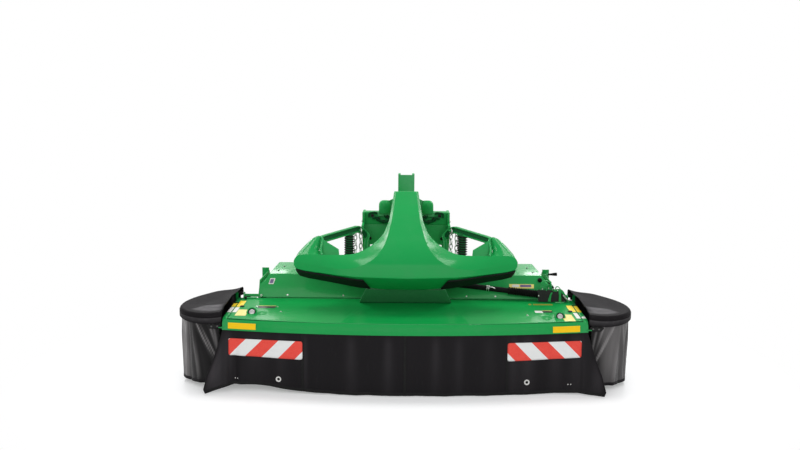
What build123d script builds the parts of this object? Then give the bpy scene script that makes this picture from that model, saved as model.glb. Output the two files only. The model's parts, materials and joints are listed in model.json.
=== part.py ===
# Front-mounted disc mower conditioner, parked on its skid shoes and two parking stands.
# Frame: +X to the right of someone facing the front curtain, the curtain faces -Y,
# the tractor's side is +Y, +Z is up, and the floor is Z = 0.  Millimetres.
# "left" is -X and "right" is +X.  Depths are given from the foremost point of the lip,
# and every outline in a side view is a list of (depth, height) points.
import os
from math import asin, cos, degrees, radians, sin, sqrt

from build123d import *

os.makedirs("parts", exist_ok=True)

# ---------------------------------------------------------------- driving dimensions
length = 2100.0            # front lip to rear of the headstock, along Y
deck_half = 1448.0         # half the width of the deck and its flap
sheet = 4.0                # steel covers
gap = 6.0                  # clearance between covers that move and those that don't
seat = 0.3                 # clearance of a piece that rests against another
bearing_clearance = 0.05   # pins and shafts in their bores
pin_radius = 10.0          # pivots of the flap, doors and stands
sides = (("left", -1), ("right", 1))

# cutter bar and discs
disc_count = 7
disc_inset = 143.0         # outer disc centres, inside the deck's edge
disc_pitch = 2 * (deck_half - disc_inset) / (disc_count - 1)
disc_depth = 500.0
disc_radius = 160.0
disc_underside = 84.0
disc_rim = 6.0
disc_height = 30.0
knife_reach = 245.0        # radius of the circle that the knife tips run on
knife_width = 45.0
knife_thickness = 4.0
bar_front = 385.0
bar_rear = 690.0
bar_bottom = 30.0          # also the height of the skid shoes
bar_top = 72.0
bar_overhang = 170.0       # bar beyond the outer disc centres
shoe_width = 270.0
drum_top = 300.0

# transverse frame
tube_half = deck_half - 48.0
tube_front = 740.0
tube_rear = 840.0
tube_bottom = 500.0
tube_top = 590.0
cheek_thickness = 8.0
rail_front = 290.0         # square rail behind the front curtain
rail_size = 40.0
rail_bottom = 512.0

# conditioner
plate_inner = tube_half - 130.0
plate_thickness = 8.0
rotor_depth = 1130.0
rotor_height = 430.0
rotor_reach = 250.0
rotor_tube = 80.0
rotor_shaft = 30.0
tine_stations = 12
tine_thickness = 8.0
comb_clearance = 14.0      # between the tine tips and the comb
hood_clearance = 140.0     # between the tine tips and the hood
hood_top = rotor_height + rotor_reach + hood_clearance

# deck and front flap
deck_front_height = 567.0
deck_rear_height = 607.0
deck_rear = 855.0
lip_height = 81.0
lip_slope = 26.0           # setback of the lip's top edge
bow = 160.0                # setback of the front edge at its two ends
flap_pivot_depth = 600.0
flap_pivot_height = 520.0
curtain_thickness = 5.0
curtain_clearance = 5.0    # above the floor
wing_spread = 108.0        # how far the curtain's wings flare past the deck
board_width = 564.0
board_height = 141.0
board_x = deck_half - 368.0
board_z = 350.0

# side shields
shield_inner = deck_half + 7.0
shield_width = 410.0
shield_front = 172.0
shield_middle = 520.0      # depth of the widest point
shield_corner = 690.0      # where the inner edge starts to slant inwards
shield_rear = 905.0
shield_slant = 50.0
shield_rim = 522.0
shield_edge_height = 588.0  # of the crown above the widest point
shield_rise_inwards = 0.163
shield_rise_rearwards = 0.08
shield_skin = 5.0
shield_hinge_x = deck_half + 12.0
shield_hinge_height = 660.0
hinge_radius = 7.0
side_curtain_bottom = 35.0

# hitch
spread = 825.0             # between the shoulders of the lower hitch pins, category 2
lower_pin_radius = 14.25
lower_pin_length = 60.0
lower_pin_depth = length - 80.0
lower_pin_height = 720.0
top_link_radius = 12.9
top_link_depth = length - 110.0
top_link_height = 1570.0
top_height = 1632.0
input_shaft_radius = 17.4
input_shaft_height = 970.0
shaft_length = 70.0


def y_at(depth):
    """The Y of a point that lies this far behind the lip's foremost point."""
    return depth - length / 2


def block(x0, x1, d0, d1, z0, z1, mode=Mode.ADD):
    """A box between two X, two depths and two heights."""
    with Locations(((x0 + x1) / 2, y_at((d0 + d1) / 2), (z0 + z1) / 2)):
        Box(abs(x1 - x0), d1 - d0, z1 - z0, mode=mode)


def side_profile(x, thickness, points, mode=Mode.ADD):
    """A plate across X, from its outline of (depth, height) points."""
    with BuildSketch(Plane.YZ.offset(x)) as outline:
        Polygon(*[(y_at(depth), height) for depth, height in points])
    extrude(outline.sketch, amount=thickness, mode=mode)


def cross_profile(depth, thickness, points):
    """A plate across Y that runs back from this depth, from its outline of (X, height) points."""
    with BuildSketch(Plane.XZ.offset(-y_at(depth))) as outline:
        Polygon(*points)
    extrude(outline.sketch, amount=-thickness)


def rod(x0, x1, depth, height, radius, mode=Mode.ADD):
    """A round bar along X."""
    with BuildSketch(Plane.YZ.offset(x0)) as outline:
        with Locations((y_at(depth), height)):
            Circle(radius)
    extrude(outline.sketch, amount=x1 - x0, mode=mode)


def shaft(x, height, d0, d1, radius, mode=Mode.ADD):
    """A round bar along Y."""
    with BuildSketch(Plane.XZ.offset(-y_at(d0))) as outline:
        with Locations((x, height)):
            Circle(radius)
    extrude(outline.sketch, amount=d0 - d1, mode=mode)


def post(x, depth, z0, z1, radius, top_radius=None, mode=Mode.ADD):
    """An upright round bar or cone."""
    standing = (Align.CENTER, Align.CENTER, Align.MIN)
    with Locations((x, y_at(depth), z0)):
        if top_radius is None:
            Cylinder(radius, z1 - z0, align=standing, mode=mode)
        else:
            Cone(radius, top_radius, z1 - z0, align=standing, mode=mode)


def between(table, x):
    """The row of a table of stations at x, in line between the rows beside it."""
    for (x0, *low), (x1, *high) in zip(table, table[1:]):
        if x0 <= x <= x1:
            share = (x - x0) / (x1 - x0)
            return [tuple(a + share * (b - a) for a, b in zip(p, q)) for p, q in zip(low, high)]


def write(part, name):
    """Names a finished piece and writes its file."""
    part.label = name
    export_step(part, f"parts/{name}.step")


# ---------------------------------------------------------------- cutter bar
disc_xs = [(i - (disc_count - 1) / 2) * disc_pitch for i in range(disc_count)]
bar_half = disc_xs[-1] + bar_overhang
bar_corner = 40.0
boss_radius = 62.0

with BuildPart() as cutter_bar:
    block(-bar_half, bar_half, bar_front, bar_rear, bar_bottom, bar_top)
    fillet(cutter_bar.edges().filter_by(Axis.Z), bar_corner)
    chamfer(cutter_bar.faces().sort_by(Axis.Z)[-1].edges(), bar_corner / 5)
    for x in disc_xs:
        post(x, disc_depth, bar_top - 1, disc_underside - seat, boss_radius, boss_radius - 6)
write(cutter_bar.part, "cutter_bar")

shoe_lip = 31.0            # how far a shoe's nose stands before the bar
with BuildPart() as skid_shoes:
    for x in disc_xs:
        side_profile(x - shoe_width / 2, shoe_width, [
            (bar_front - shoe_lip + 6, bar_bottom + 14), (bar_front, bar_bottom), (bar_rear - 60, bar_bottom),
            (bar_rear - 60, 6), (bar_rear - 90, 0), (bar_front + 90, 0), (bar_front + 20, 8),
            (bar_front - shoe_lip, bar_bottom + 8)])
write(skid_shoes.part, "skid_shoes")

# ---------------------------------------------------------------- discs
knife_root = disc_radius - 45
knife_bolt_radius = 12.0
knife_top = disc_underside - 2
dome_radius = 70.0
drum_radius = 125.0
for number, x in enumerate(disc_xs, start=1):
    quarter_turn = 90 * (number % 2)
    with BuildPart() as disc:
        post(x, disc_depth, disc_underside, disc_underside + disc_rim, disc_radius)
        post(x, disc_depth, disc_underside + disc_rim, disc_underside + disc_height, disc_radius - 25, dome_radius)
        if number in (1, disc_count):
            post(x, disc_depth, disc_underside + disc_height, drum_top, drum_radius, drum_radius - 30)
        for turn in (quarter_turn, quarter_turn + 180):
            blade = Plane(origin=(x, y_at(disc_depth), knife_top - knife_thickness),
                          x_dir=(cos(radians(turn)), sin(radians(turn)), 0), z_dir=(0, 0, 1))
            with BuildSketch(blade) as outline:
                Polygon((knife_root, -knife_width / 2), (knife_reach - 4, -knife_width / 2),
                        (knife_reach - 6, knife_width / 2), (knife_root, knife_width / 2))
            extrude(outline.sketch, amount=knife_thickness)
            bolt_base = blade.offset(-knife_thickness)
            with Locations(bolt_base.location * Location((disc_radius - 22, 0, 0))):
                Cylinder(knife_bolt_radius, disc_underside + 1 - bolt_base.origin.Z,
                         align=(Align.CENTER, Align.CENTER, Align.MIN))
    write(disc.part, f"disc_{number}")

# ---------------------------------------------------------------- transverse frame
foot_x = 105.0             # feet under the pedestal
foot_half = 15.0
with BuildPart() as main_frame:
    block(-tube_half, tube_half, tube_front, tube_rear, tube_bottom, tube_top)
    fillet(main_frame.edges().filter_by(Axis.X), 12)
    for x in (-foot_x, foot_x):
        block(x - foot_half, x + foot_half, tube_front + 5, tube_front + 45, tube_top - 1, deck_rear_height - 2)
write(main_frame.part, "main_frame")

with BuildPart() as front_rail:
    block(-tube_half, tube_half, rail_front, rail_front + rail_size, rail_bottom, rail_bottom + rail_size)
write(front_rail.part, "front_rail")

strip_inner = tube_half + cheek_thickness + gap
strip_outer = deck_half - 1
cheek_rear = 873.0
bracket_thickness = 12.0
bracket_half = 10.0
for side_name, side in sides:
    with BuildPart() as frame_cheek:
        side_profile(side * tube_half, side * cheek_thickness, [
            (cheek_rear, tube_bottom), (cheek_rear, tube_top + 8), (rail_front - 40, tube_top - 30),
            (rail_front - 40, rail_bottom), (flap_pivot_depth - 60, rail_bottom - 20),
            (flap_pivot_depth, tube_bottom - 5)])
        rod(side * tube_half, side * strip_outer, flap_pivot_depth, flap_pivot_height, pin_radius)
        # the bracket reaches the hinge from below, out of the way of the shield's inner edge
        cross_profile(cheek_rear - bracket_thickness, bracket_thickness, [
            (side * tube_half, tube_bottom + 40), (side * (shield_hinge_x + bracket_half), tube_bottom + 45),
            (side * (shield_hinge_x + bracket_half), shield_hinge_height + bracket_half),
            (side * (shield_hinge_x - bracket_half), shield_hinge_height + bracket_half),
            (side * (shield_hinge_x - bracket_half), shield_hinge_height - 65),
            (side * tube_half, shield_hinge_height - 75)])
        shaft(side * shield_hinge_x, shield_hinge_height, cheek_rear - 103, cheek_rear + 2, hinge_radius)
    write(frame_cheek.part, f"frame_cheek_{side_name}")

# ---------------------------------------------------------------- side plates of the conditioner
hood_front = 862.0
door_depth = 1500.0
door_x = plate_inner - 35.0
door_bottom = 165.0
door_top = 555.0
door_length = 440.0
lug_thickness = 15.0
lug_half = 20.0
stand_depth = 1500.0
stand_height = 430.0
stand_x0 = plate_inner + 40.0
stand_width = 40.0
bearing_width = 26.0
plate_top = hood_top - 72.0
wing_depth = 1450.0
wing_thickness = 8.0
wing_width = 64.0
wing_bottom = tube_top + 65.0
wing_top = plate_top + 27.0
for side_name, side in sides:
    with BuildPart() as side_plate:
        side_profile(side * plate_inner, side * plate_thickness, [
            (bar_rear, bar_bottom), (tube_front + 50, bar_bottom), (1000, 60), (1540, 90), (1600, 150),
            (1600, 600), (1480, plate_top), (960, plate_top), (930, tube_top + 95),
            (hood_front, tube_top + 8),
            (tube_rear, tube_top + 8),
            (tube_rear, tube_bottom), (tube_front + 15, tube_bottom), (tube_front + 15, bar_top),
            (bar_rear, bar_top)])
        rod(side * (plate_inner + 1), side * (plate_inner + bearing_width), rotor_depth, rotor_height, 75)
        rod(side * (plate_inner - 1), side * (plate_inner + bearing_width + 1), rotor_depth, rotor_height,
            rotor_shaft + bearing_clearance, mode=Mode.SUBTRACT)
        rod(side * plate_inner, side * (stand_x0 + stand_width + 8), stand_depth, stand_height, pin_radius)
        # flange that stands out beside the hood's rear
        cross_profile(wing_depth, wing_thickness, [
            (side * (plate_inner + 1), wing_bottom), (side * (plate_inner + wing_width), wing_bottom),
            (side * (plate_inner + wing_width), wing_top), (side * (plate_inner + 1), wing_top)])
        # stop that the parking stand leans on
        block(side * plate_inner, side * (stand_x0 + 30), stand_depth - 85, stand_depth - 55, 330, 360)
        for z in (door_bottom - lug_thickness - 5, door_top + 5):
            block(side * (door_x - lug_half), side * plate_inner, door_depth - lug_half, door_depth + lug_half,
                  z, z + lug_thickness)
            post(side * door_x, door_depth, z - 1, z + lug_thickness + 1,
                 pin_radius + bearing_clearance, mode=Mode.SUBTRACT)
    write(side_plate.part, f"side_plate_{side_name}")

# ---------------------------------------------------------------- conditioner rotor
rotor_half = plate_inner - 20.0
tine_span = 2 * (rotor_half - 110.0)
with BuildPart() as conditioner_rotor:
    rod(-rotor_half, rotor_half, rotor_depth, rotor_height, rotor_tube)
    rod(-(plate_inner + bearing_width - 1), plate_inner + bearing_width - 1, rotor_depth, rotor_height, rotor_shaft)
    for i in range(tine_stations):
        x = -tine_span / 2 + i * tine_span / (tine_stations - 1)
        for turn in (60 * i, 60 * i + 180):
            tine_plane = Plane(origin=(x, y_at(rotor_depth), rotor_height), x_dir=(1, 0, 0),
                               z_dir=(0, -sin(radians(turn)), cos(radians(turn))))
            with BuildSketch(tine_plane) as outline:
                Polygon((-30, rotor_tube - 6), (-62, rotor_reach - 1), (-42, rotor_reach - 1), (0, rotor_tube + 40),
                        (42, rotor_reach - 1), (62, rotor_reach - 1), (30, rotor_tube - 6))
            extrude(outline.sketch, amount=tine_thickness)
write(conditioner_rotor.part, "conditioner_rotor")

comb_radius = rotor_reach + comb_clearance
comb_start = 35.0
comb_end = 100.0
comb_half = plate_inner - seat - sheet - seat


def comb_point(radius, angle):
    """A point round the rotor, its angle counted upwards from straight ahead."""
    return (y_at(rotor_depth) - radius * cos(radians(angle)), rotor_height + radius * sin(radians(angle)))


with BuildPart() as conditioner_comb:
    comb_middle = (comb_start + comb_end) / 2
    inner = [comb_point(comb_radius, angle) for angle in (comb_start, comb_middle, comb_end)]
    outer = [comb_point(comb_radius + sheet, angle) for angle in (comb_end, comb_middle, comb_start)]
    with BuildSketch(Plane.YZ.offset(-comb_half)) as outline:
        with BuildLine():
            ThreePointArc(*inner)
            Line(inner[-1], outer[0])
            ThreePointArc(*outer)
            Line(outer[-1], inner[0])
        make_face()
    extrude(outline.sketch, amount=2 * comb_half)
write(conditioner_comb.part, "conditioner_comb")

# ---------------------------------------------------------------- conditioner hood
hood_profile = [(hood_front, 612.0), (950.0, hood_top - 17), (1250.0, hood_top), (1500.0, hood_top),
                (1820.0, 620.0)]
hood_half = plate_inner - seat
# the hood's bent side, from the side plate up to its roof: distance inwards and below the top
hood_side = [(0.0, 105.0), (48.0, 75.0), (70.0, 30.0), (90.0, 0.0)]
notch_half = 200.0         # opening for the gearbox
notch_rear = 1160.0


def moved_in(points, inset):
    """A bent line of (depth, height) points moved inwards, its two ends kept at their heights."""
    runs = []
    for (d0, z0), (d1, z1) in zip(points, points[1:]):
        run = sqrt((d1 - d0) ** 2 + (z1 - z0) ** 2)
        across, up = (z1 - z0) / run * inset, -(d1 - d0) / run * inset
        runs.append(((d0 + across, z0 + up), (d1 - d0, z1 - z0)))
    moved = []
    for ((d0, z0), (a0, b0)), ((d1, z1), (a1, b1)) in zip(runs, runs[1:]):
        share = ((d1 - d0) * b1 - (z1 - z0) * a1) / (a0 * b1 - b0 * a1)
        moved.append((d0 + share * a0, z0 + share * b0))
    ends = []
    for ((d0, z0), (a, b)), (_, height) in ((runs[0], points[0]), (runs[-1], points[-1])):
        ends.append((d0 + (height - z0) / b * a, height))
    return [ends[0]] + moved + [ends[1]]


def hood_block(inset):
    """The hood's outer form, or with an inset the space inside it."""
    line = moved_in(hood_profile, inset)
    below = 1 if inset else 0
    line = [(line[0][0], line[0][1] - below)] + line[1:-1] + [(line[-1][0], line[-1][1] - below)]
    base = hood_profile[0][1] - 30 * below
    with BuildPart() as form:
        side_profile(-(hood_half - inset), 2 * (hood_half - inset),
                     line + [(line[-1][0], base)] + ([(line[0][0], base)] if inset else []))
        for side in (-1, 1):
            with BuildSketch(Plane.XZ.offset(-y_at(hood_front))) as bevel:
                Polygon(*[(side * (hood_half - inset - inwards), hood_top - drop - inset / 2)
                          for inwards, drop in hood_side],
                        (side * (hood_half - inset - hood_side[-1][0]), hood_top + 40),
                        (side * (hood_half - inset), hood_top + 40))
            extrude(bevel.sketch, amount=-(hood_profile[-1][0] - hood_front), mode=Mode.SUBTRACT)
    return form.part


hood_outer = hood_block(0)
hood_space = hood_block(sheet)
with BuildPart() as conditioner_hood:
    add(hood_outer)
    add(hood_space, mode=Mode.SUBTRACT)
    block(-notch_half, notch_half, hood_front - 60, notch_rear, tube_top, hood_top + 40, mode=Mode.SUBTRACT)
write(conditioner_hood.part, "conditioner_hood")

# ---------------------------------------------------------------- swath doors
for side_name, side in sides:
    x = side * door_x
    with BuildPart() as swath_door:
        post(x, door_depth, door_bottom - lug_thickness - 10, door_top + lug_thickness + 10, pin_radius)
        block(x - 3, x + 3, door_depth, door_depth + door_length, door_bottom, door_top)
    write(swath_door.part, f"swath_door_{side_name}")

# ---------------------------------------------------------------- parking stands
sole_offset = 45.0         # the sole stands this far ahead of the pivot
sole_half = 60.0
sole_thickness = 8.5
for side_name, side in sides:
    with BuildPart() as parking_stand:
        side_profile(side * stand_x0, side * stand_width, [
            (stand_depth - 20, stand_height + 25), (stand_depth + 20, stand_height + 25),
            (stand_depth + 20, stand_height - 25), (stand_depth - sole_offset + 20, sole_thickness - 0.5),
            (stand_depth - sole_offset - 20, sole_thickness - 0.5), (stand_depth - 20, stand_height - 25)])
        block(side * (stand_x0 - 15), side * (stand_x0 + stand_width + 15), stand_depth - sole_offset - sole_half,
              stand_depth - sole_offset + sole_half, 0, sole_thickness)
        rod(side * (stand_x0 - 1), side * (stand_x0 + stand_width + 1), stand_depth, stand_height,
            pin_radius + bearing_clearance, mode=Mode.SUBTRACT)
    write(parking_stand.part, f"parking_stand_{side_name}")

# ---------------------------------------------------------------- bowed front: deck, lip and curtain
bow_radius = (deck_half ** 2 + bow ** 2) / (2 * bow)
bow_centre_y = y_at(0) + bow_radius
bow_angle = degrees(asin(deck_half / bow_radius))
bow_start = Plane(origin=(0, bow_centre_y, 0),
                  x_dir=(-sin(radians(bow_angle)), -cos(radians(bow_angle)), 0),
                  z_dir=(-cos(radians(bow_angle)), sin(radians(bow_angle)), 0))
bow_axis = Axis((0, bow_centre_y, 0), (0, 0, 1))


def bowed(points, mode=Mode.ADD):
    """A band that follows the bowed front, from a section of (depth, height) points."""
    with BuildSketch(bow_start) as section:
        Polygon(*[(bow_radius - depth, height) for depth, height in points])
    revolve(section.sketch, bow_axis, revolution_arc=2 * bow_angle, mode=mode)


def setback(x):
    """How far the bowed front lies behind its foremost point at this X."""
    return bow_radius - sqrt(bow_radius ** 2 - x ** 2)


deck_slope = (deck_rear_height - deck_front_height) / (deck_rear - lip_slope)
deck_tilt = Plane(origin=(0, y_at(lip_slope), deck_front_height), x_dir=(1, 0, 0),
                  z_dir=(0, -deck_slope, 1))


def deck_height(depth):
    """Height of the deck's upper face at this depth."""
    return deck_front_height + deck_slope * (depth - lip_slope)


deck_inner_half = strip_inner - gap
strip_rear = flap_pivot_depth + 60
deck_step = strip_rear + 46             # behind here the deck has its full width
gearbox_opening_half = 250.0
with BuildPart() as top_deck:
    with BuildSketch(deck_tilt) as outline:
        edge = gap + sheet
        corner = edge + setback(deck_inner_half)
        with BuildLine():
            ThreePointArc((-deck_inner_half, corner), (0, edge), (deck_inner_half, corner))
            Polyline((deck_inner_half, corner), (deck_inner_half, deck_step - lip_slope),
                     (deck_half - 2, deck_step - lip_slope), (deck_half - 2, deck_rear - lip_slope),
                     (2 - deck_half, deck_rear - lip_slope), (2 - deck_half, deck_step - lip_slope),
                     (-deck_inner_half, deck_step - lip_slope), (-deck_inner_half, corner))
        make_face()
    extrude(outline.sketch, amount=-sheet)
    block(-gearbox_opening_half, gearbox_opening_half, tube_front - 15, deck_rear + 10,
          deck_front_height, deck_rear_height + 30, mode=Mode.SUBTRACT)
write(top_deck.part, "top_deck")

latch_x = deck_half - 208.0
latch_depth = 350.0
with BuildPart() as deck_latches:
    for side in (-1, 1):
        with Locations(deck_tilt.location * Location((side * latch_x, latch_depth - lip_slope, seat))):
            Cone(30, 22, 20, align=(Align.CENTER, Align.CENTER, Align.MIN))
write(deck_latches.part, "deck_latches")

lip_bottom = deck_front_height - lip_height
lip_crease = 25.0          # below the lip's top edge
crease_setback = 8.0
boss_half = 22.0           # of the flap's arm round its pivot
with BuildPart() as front_flap:
    bowed([(lip_slope, deck_front_height), (crease_setback, deck_front_height - lip_crease), (0, lip_bottom),
           (sheet, lip_bottom), (sheet + crease_setback, deck_front_height - lip_crease - 1),
           (lip_slope + sheet, deck_front_height - 1)])
    # side strips that run back to the pivots, flush with the deck
    for side in (-1, 1):
        side_profile(side * strip_inner, side * (strip_outer - strip_inner), [
            (bow, lip_bottom + 1), (bow + 40, lip_bottom + 1),
            (flap_pivot_depth - 30, flap_pivot_height - boss_half),
            (flap_pivot_depth + boss_half, flap_pivot_height - boss_half),
            (strip_rear, deck_height(strip_rear) - 20), (strip_rear, deck_height(strip_rear)),
            (bow + 80, deck_height(bow + 80)), (bow + lip_slope, deck_front_height - 1)])
        rod(side * (strip_inner - 1), side * (strip_outer + 1), flap_pivot_depth, flap_pivot_height,
            pin_radius + bearing_clearance, mode=Mode.SUBTRACT)
write(front_flap.part, "front_flap")

curtain_inset = sheet + 6
curtain_top = lip_bottom + 40
wing_length = sqrt((wing_spread + 12) ** 2 + (bow + curtain_inset - 4) ** 2)
with BuildPart() as front_curtain:
    bowed([(curtain_inset, curtain_clearance), (curtain_inset + curtain_thickness, curtain_clearance),
           (curtain_inset + curtain_thickness, curtain_top), (curtain_inset, curtain_top)])
    for side in (-1, 1):
        block(side * (strip_inner - 1), side * (deck_half + 30), 0, bow + 240, lip_bottom - 4, curtain_top + 40,
              mode=Mode.SUBTRACT)
        flare = (wing_spread + 12, bow + curtain_inset - 4)
        wing = Plane(origin=(side * (deck_half - 12), y_at(bow + curtain_inset - 2), 0),
                     x_dir=(side * flare[0], -flare[1], 0), z_dir=(side * flare[1], flare[0], 0))
        with BuildSketch(wing) as outline:
            rise = -side
            Polygon((-6, rise * curtain_clearance), (wing_length, rise * curtain_clearance),
                    (10, rise * (lip_bottom - 6)), (-6, rise * (lip_bottom - 6)))
        extrude(outline.sketch, amount=curtain_thickness)
write(front_curtain.part, "front_curtain")

board_thickness = 1.5
for side_name, side in sides:
    board_angle = radians(side * degrees(asin(board_x / bow_radius)))
    facing = Plane(origin=(side * board_x, y_at(curtain_inset + bow_radius) - sqrt(
                       (bow_radius - curtain_inset) ** 2 - board_x ** 2) - curtain_inset, board_z),
                   x_dir=(cos(board_angle), sin(board_angle), 0), z_dir=(sin(board_angle), -cos(board_angle), 0))
    with BuildPart() as hazard_board:
        with BuildSketch(facing.offset(seat)) as outline:
            Rectangle(board_width, board_height)
        extrude(outline.sketch, amount=board_thickness)
    write(hazard_board.part, f"hazard_board_{side_name}")

# ---------------------------------------------------------------- side shields
shield_reach = shield_inner + shield_width


def shield_outline(side, inset):
    """The D-shaped plan of a side shield, drawn in the current line builder."""
    front = (side * (shield_inner + inset), y_at(shield_front + inset))
    rear = (side * (shield_inner - shield_slant + inset), y_at(shield_rear - inset))
    ThreePointArc(front, (side * (shield_reach - inset), y_at(shield_middle)), rear)
    if inset:
        Polyline(rear, (rear[0] - side * 60, rear[1]), (front[0] - side * 60, front[1]), front)
    else:
        Polyline(rear, (front[0], y_at(shield_corner)), front)


def shield_crown(side, drop):
    """The plane of the shield's top, tilted up inwards and rearwards."""
    return Plane(origin=(side * shield_reach, y_at(shield_middle - 70), shield_edge_height - drop),
                 x_dir=(-side, 0, shield_rise_inwards),
                 z_dir=(side * shield_rise_inwards, -shield_rise_rearwards, 1))


def shield_block(side, inset):
    """The shield's outer form, or with an inset the space inside it."""
    below = 20 if inset else 0
    with BuildPart() as form:
        with BuildSketch(Plane.XY.offset(shield_rim - below)) as outline:
            with BuildLine():
                shield_outline(side, inset)
            make_face()
        extrude(outline.sketch, amount=shield_width)
        split(bisect_by=shield_crown(side, inset), keep=Keep.BOTTOM)
    return form.part


knuckle_front = cheek_rear - 73
knuckle_length = 40.0
for side_name, side in sides:
    shield_outer = shield_block(side, 0)
    shield_space = shield_block(side, shield_skin)
    with BuildPart() as side_shield:
        add(shield_outer)
        add(shield_space, mode=Mode.SUBTRACT)
        block(side * (shield_hinge_x - bracket_half), side * (shield_hinge_x + bracket_half), knuckle_front,
              knuckle_front + knuckle_length, shield_hinge_height - bracket_half, shield_hinge_height + 60)
        split(bisect_by=shield_crown(side, 0), keep=Keep.BOTTOM)
        shaft(side * shield_hinge_x, shield_hinge_height, knuckle_front - 10, knuckle_front + knuckle_length + 10,
              hinge_radius + bearing_clearance, mode=Mode.SUBTRACT)
    write(side_shield.part, f"side_shield_{side_name}")

    with BuildPart() as side_curtain:
        with BuildSketch(Plane.XY.offset(side_curtain_bottom)) as outline:
            inner = shield_skin + seat
            with BuildLine():
                shield_outline(side, inner)
            make_face()
            with BuildLine():
                shield_outline(side, inner + curtain_thickness)
            make_face(mode=Mode.SUBTRACT)
            with Locations((side * (shield_inner + 10 - 200), y_at(shield_middle))):
                Rectangle(400, 2 * shield_rear, mode=Mode.SUBTRACT)
        extrude(outline.sketch, amount=shield_rim + 16 - side_curtain_bottom)
    write(side_curtain.part, f"side_curtain_{side_name}")

# ---------------------------------------------------------------- gearbox and drives
gearbox_half = 150.0
gearbox_front = 890.0
gearbox_rear = 1130.0
gearbox_bottom = 722.0
gearbox_top = 1058.0
gearbox_step = 60.0
leg_x = 115.0
leg_half = 12.0
flange_thickness = 15.0
with BuildPart() as gearbox:
    block(-gearbox_half, gearbox_half, gearbox_front, gearbox_rear, gearbox_bottom, gearbox_top - gearbox_step)
    fillet(gearbox.edges().filter_by(Axis.Z), 25)
    block(50 - gearbox_half, gearbox_half - 50, gearbox_front + 30, gearbox_rear,
          gearbox_top - gearbox_step - 1, gearbox_top)
    for x in (-leg_x, leg_x):
        block(x - leg_half, x + leg_half, tube_rear + seat, gearbox_front + 13, tube_top - 20, gearbox_bottom + 30)
    shaft(0, input_shaft_height, gearbox_rear - 1, gearbox_rear + flange_thickness, 48)
    shaft(0, input_shaft_height, gearbox_rear, gearbox_rear + flange_thickness + shaft_length, input_shaft_radius)
write(gearbox.part, "gearbox")

drive_box_x0 = plate_inner - 120.0
drive_box_x1 = plate_inner + 20.0
drive_box_front = 772.0
drive_box_rear = 852.0
drive_box_top = 705.0
with BuildPart() as side_drive_box:
    block(drive_box_x0, drive_box_x1, drive_box_front, drive_box_rear, deck_height(drive_box_front) + 4,
          drive_box_top)
    fillet(side_drive_box.edges().filter_by(Axis.X), 14)
write(side_drive_box.part, "side_drive_box")

drive_start = (gearbox_half - 20, y_at(gearbox_front), drive_box_top + 60)
drive_end = (drive_box_x0 + 20, y_at(drive_box_rear - 30), drive_box_top - 44)
drive_guard_radius = 23.0
with BuildPart() as cross_drive:
    with BuildLine() as route:
        Line(drive_start, drive_end)
    with BuildSketch(Plane(origin=drive_start, z_dir=Vector(*drive_end) - Vector(*drive_start))) as outline:
        Circle(drive_guard_radius)
    sweep(outline.sketch, path=route.line)
    block(0, gearbox_half, gearbox_front, gearbox_rear + 70, tube_top, gearbox_top, mode=Mode.SUBTRACT)
    block(drive_box_x0, drive_box_x0 + 60, drive_box_front - 70, drive_box_rear + 50, tube_top, gearbox_top,
          mode=Mode.SUBTRACT)
write(cross_drive.part, "cross_drive")

with BuildPart() as disc_drive:
    block(disc_xs[-1] - 60, tube_half - 6, disc_depth - 60, tube_front, tube_bottom + 5, tube_bottom + 55)
    post(disc_xs[-1], disc_depth, drum_top + 10, tube_bottom + 6, 45)
write(disc_drive.part, "disc_drive")

# ---------------------------------------------------------------- pedestal and linkage
pedestal_top = 740.0
with BuildPart() as pedestal:
    with BuildSketch(Plane.XY.offset(deck_height(tube_front - 40) + 6)):
        with Locations((0, y_at(tube_front + 5))):
            Rectangle(780, 90)
    with BuildSketch(Plane.XY.offset(pedestal_top)):
        with Locations((0, y_at(tube_front - 80))):
            Rectangle(660, 180)
    loft()
write(pedestal.part, "pedestal")

crossbar_bottom = 920.0
crossbar_top = 1000.0
crossbar_front = 560.0
crossbar_rear = 690.0
crossbar_half = 780.0
headstock_front = length - 480.0
beam_bottom = 1160.0
beam_top = 1280.0
cheek_outer = spread / 2
cheek_inner = cheek_outer - 20
strut_depth = 1290.0
strut_radius = 34.0
chain_depth = 1430.0
chain_half = 15.0

# each side rail runs from the crossbar up and back past the headstock's cheek,
# then hoops down to the top of the hood: half-width, depth and height of its corners
rail_radius = 20.0
rail_bend = 70.0
rail_corners = [
    (745.0, crossbar_rear, 970.0),
    (738.0, 790.0, 1090.0),
    (700.0, 880.0, 1142.0),
    (cheek_outer + rail_radius - 2, headstock_front - 150, 1160.0),
    (352.0, headstock_front - 110, 1060.0),
    (374.0, 1360.0, hood_top - 20),
]


def rail_tube(side, radius):
    """A side rail as a bent round bar of this radius."""
    with BuildPart() as tube:
        with BuildLine() as route:
            FilletPolyline(*[(side * x, y_at(depth), z) for x, depth, z in rail_corners],
                           radius=[30, 60, rail_bend, rail_bend])
        start = route.line.edges()[0]
        with BuildSketch(Plane(origin=start @ 0, z_dir=start % 0)) as outline:
            Circle(radius)
        sweep(outline.sketch, path=route.line)
        block(side * 600, side * 900, crossbar_front, crossbar_rear + radius - rail_radius,
              crossbar_bottom, 1100, mode=Mode.SUBTRACT)
        block(side * 200, side * 600, 1200, 1600, hood_top - 100, hood_top + seat, mode=Mode.SUBTRACT)
    return tube.part


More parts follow.
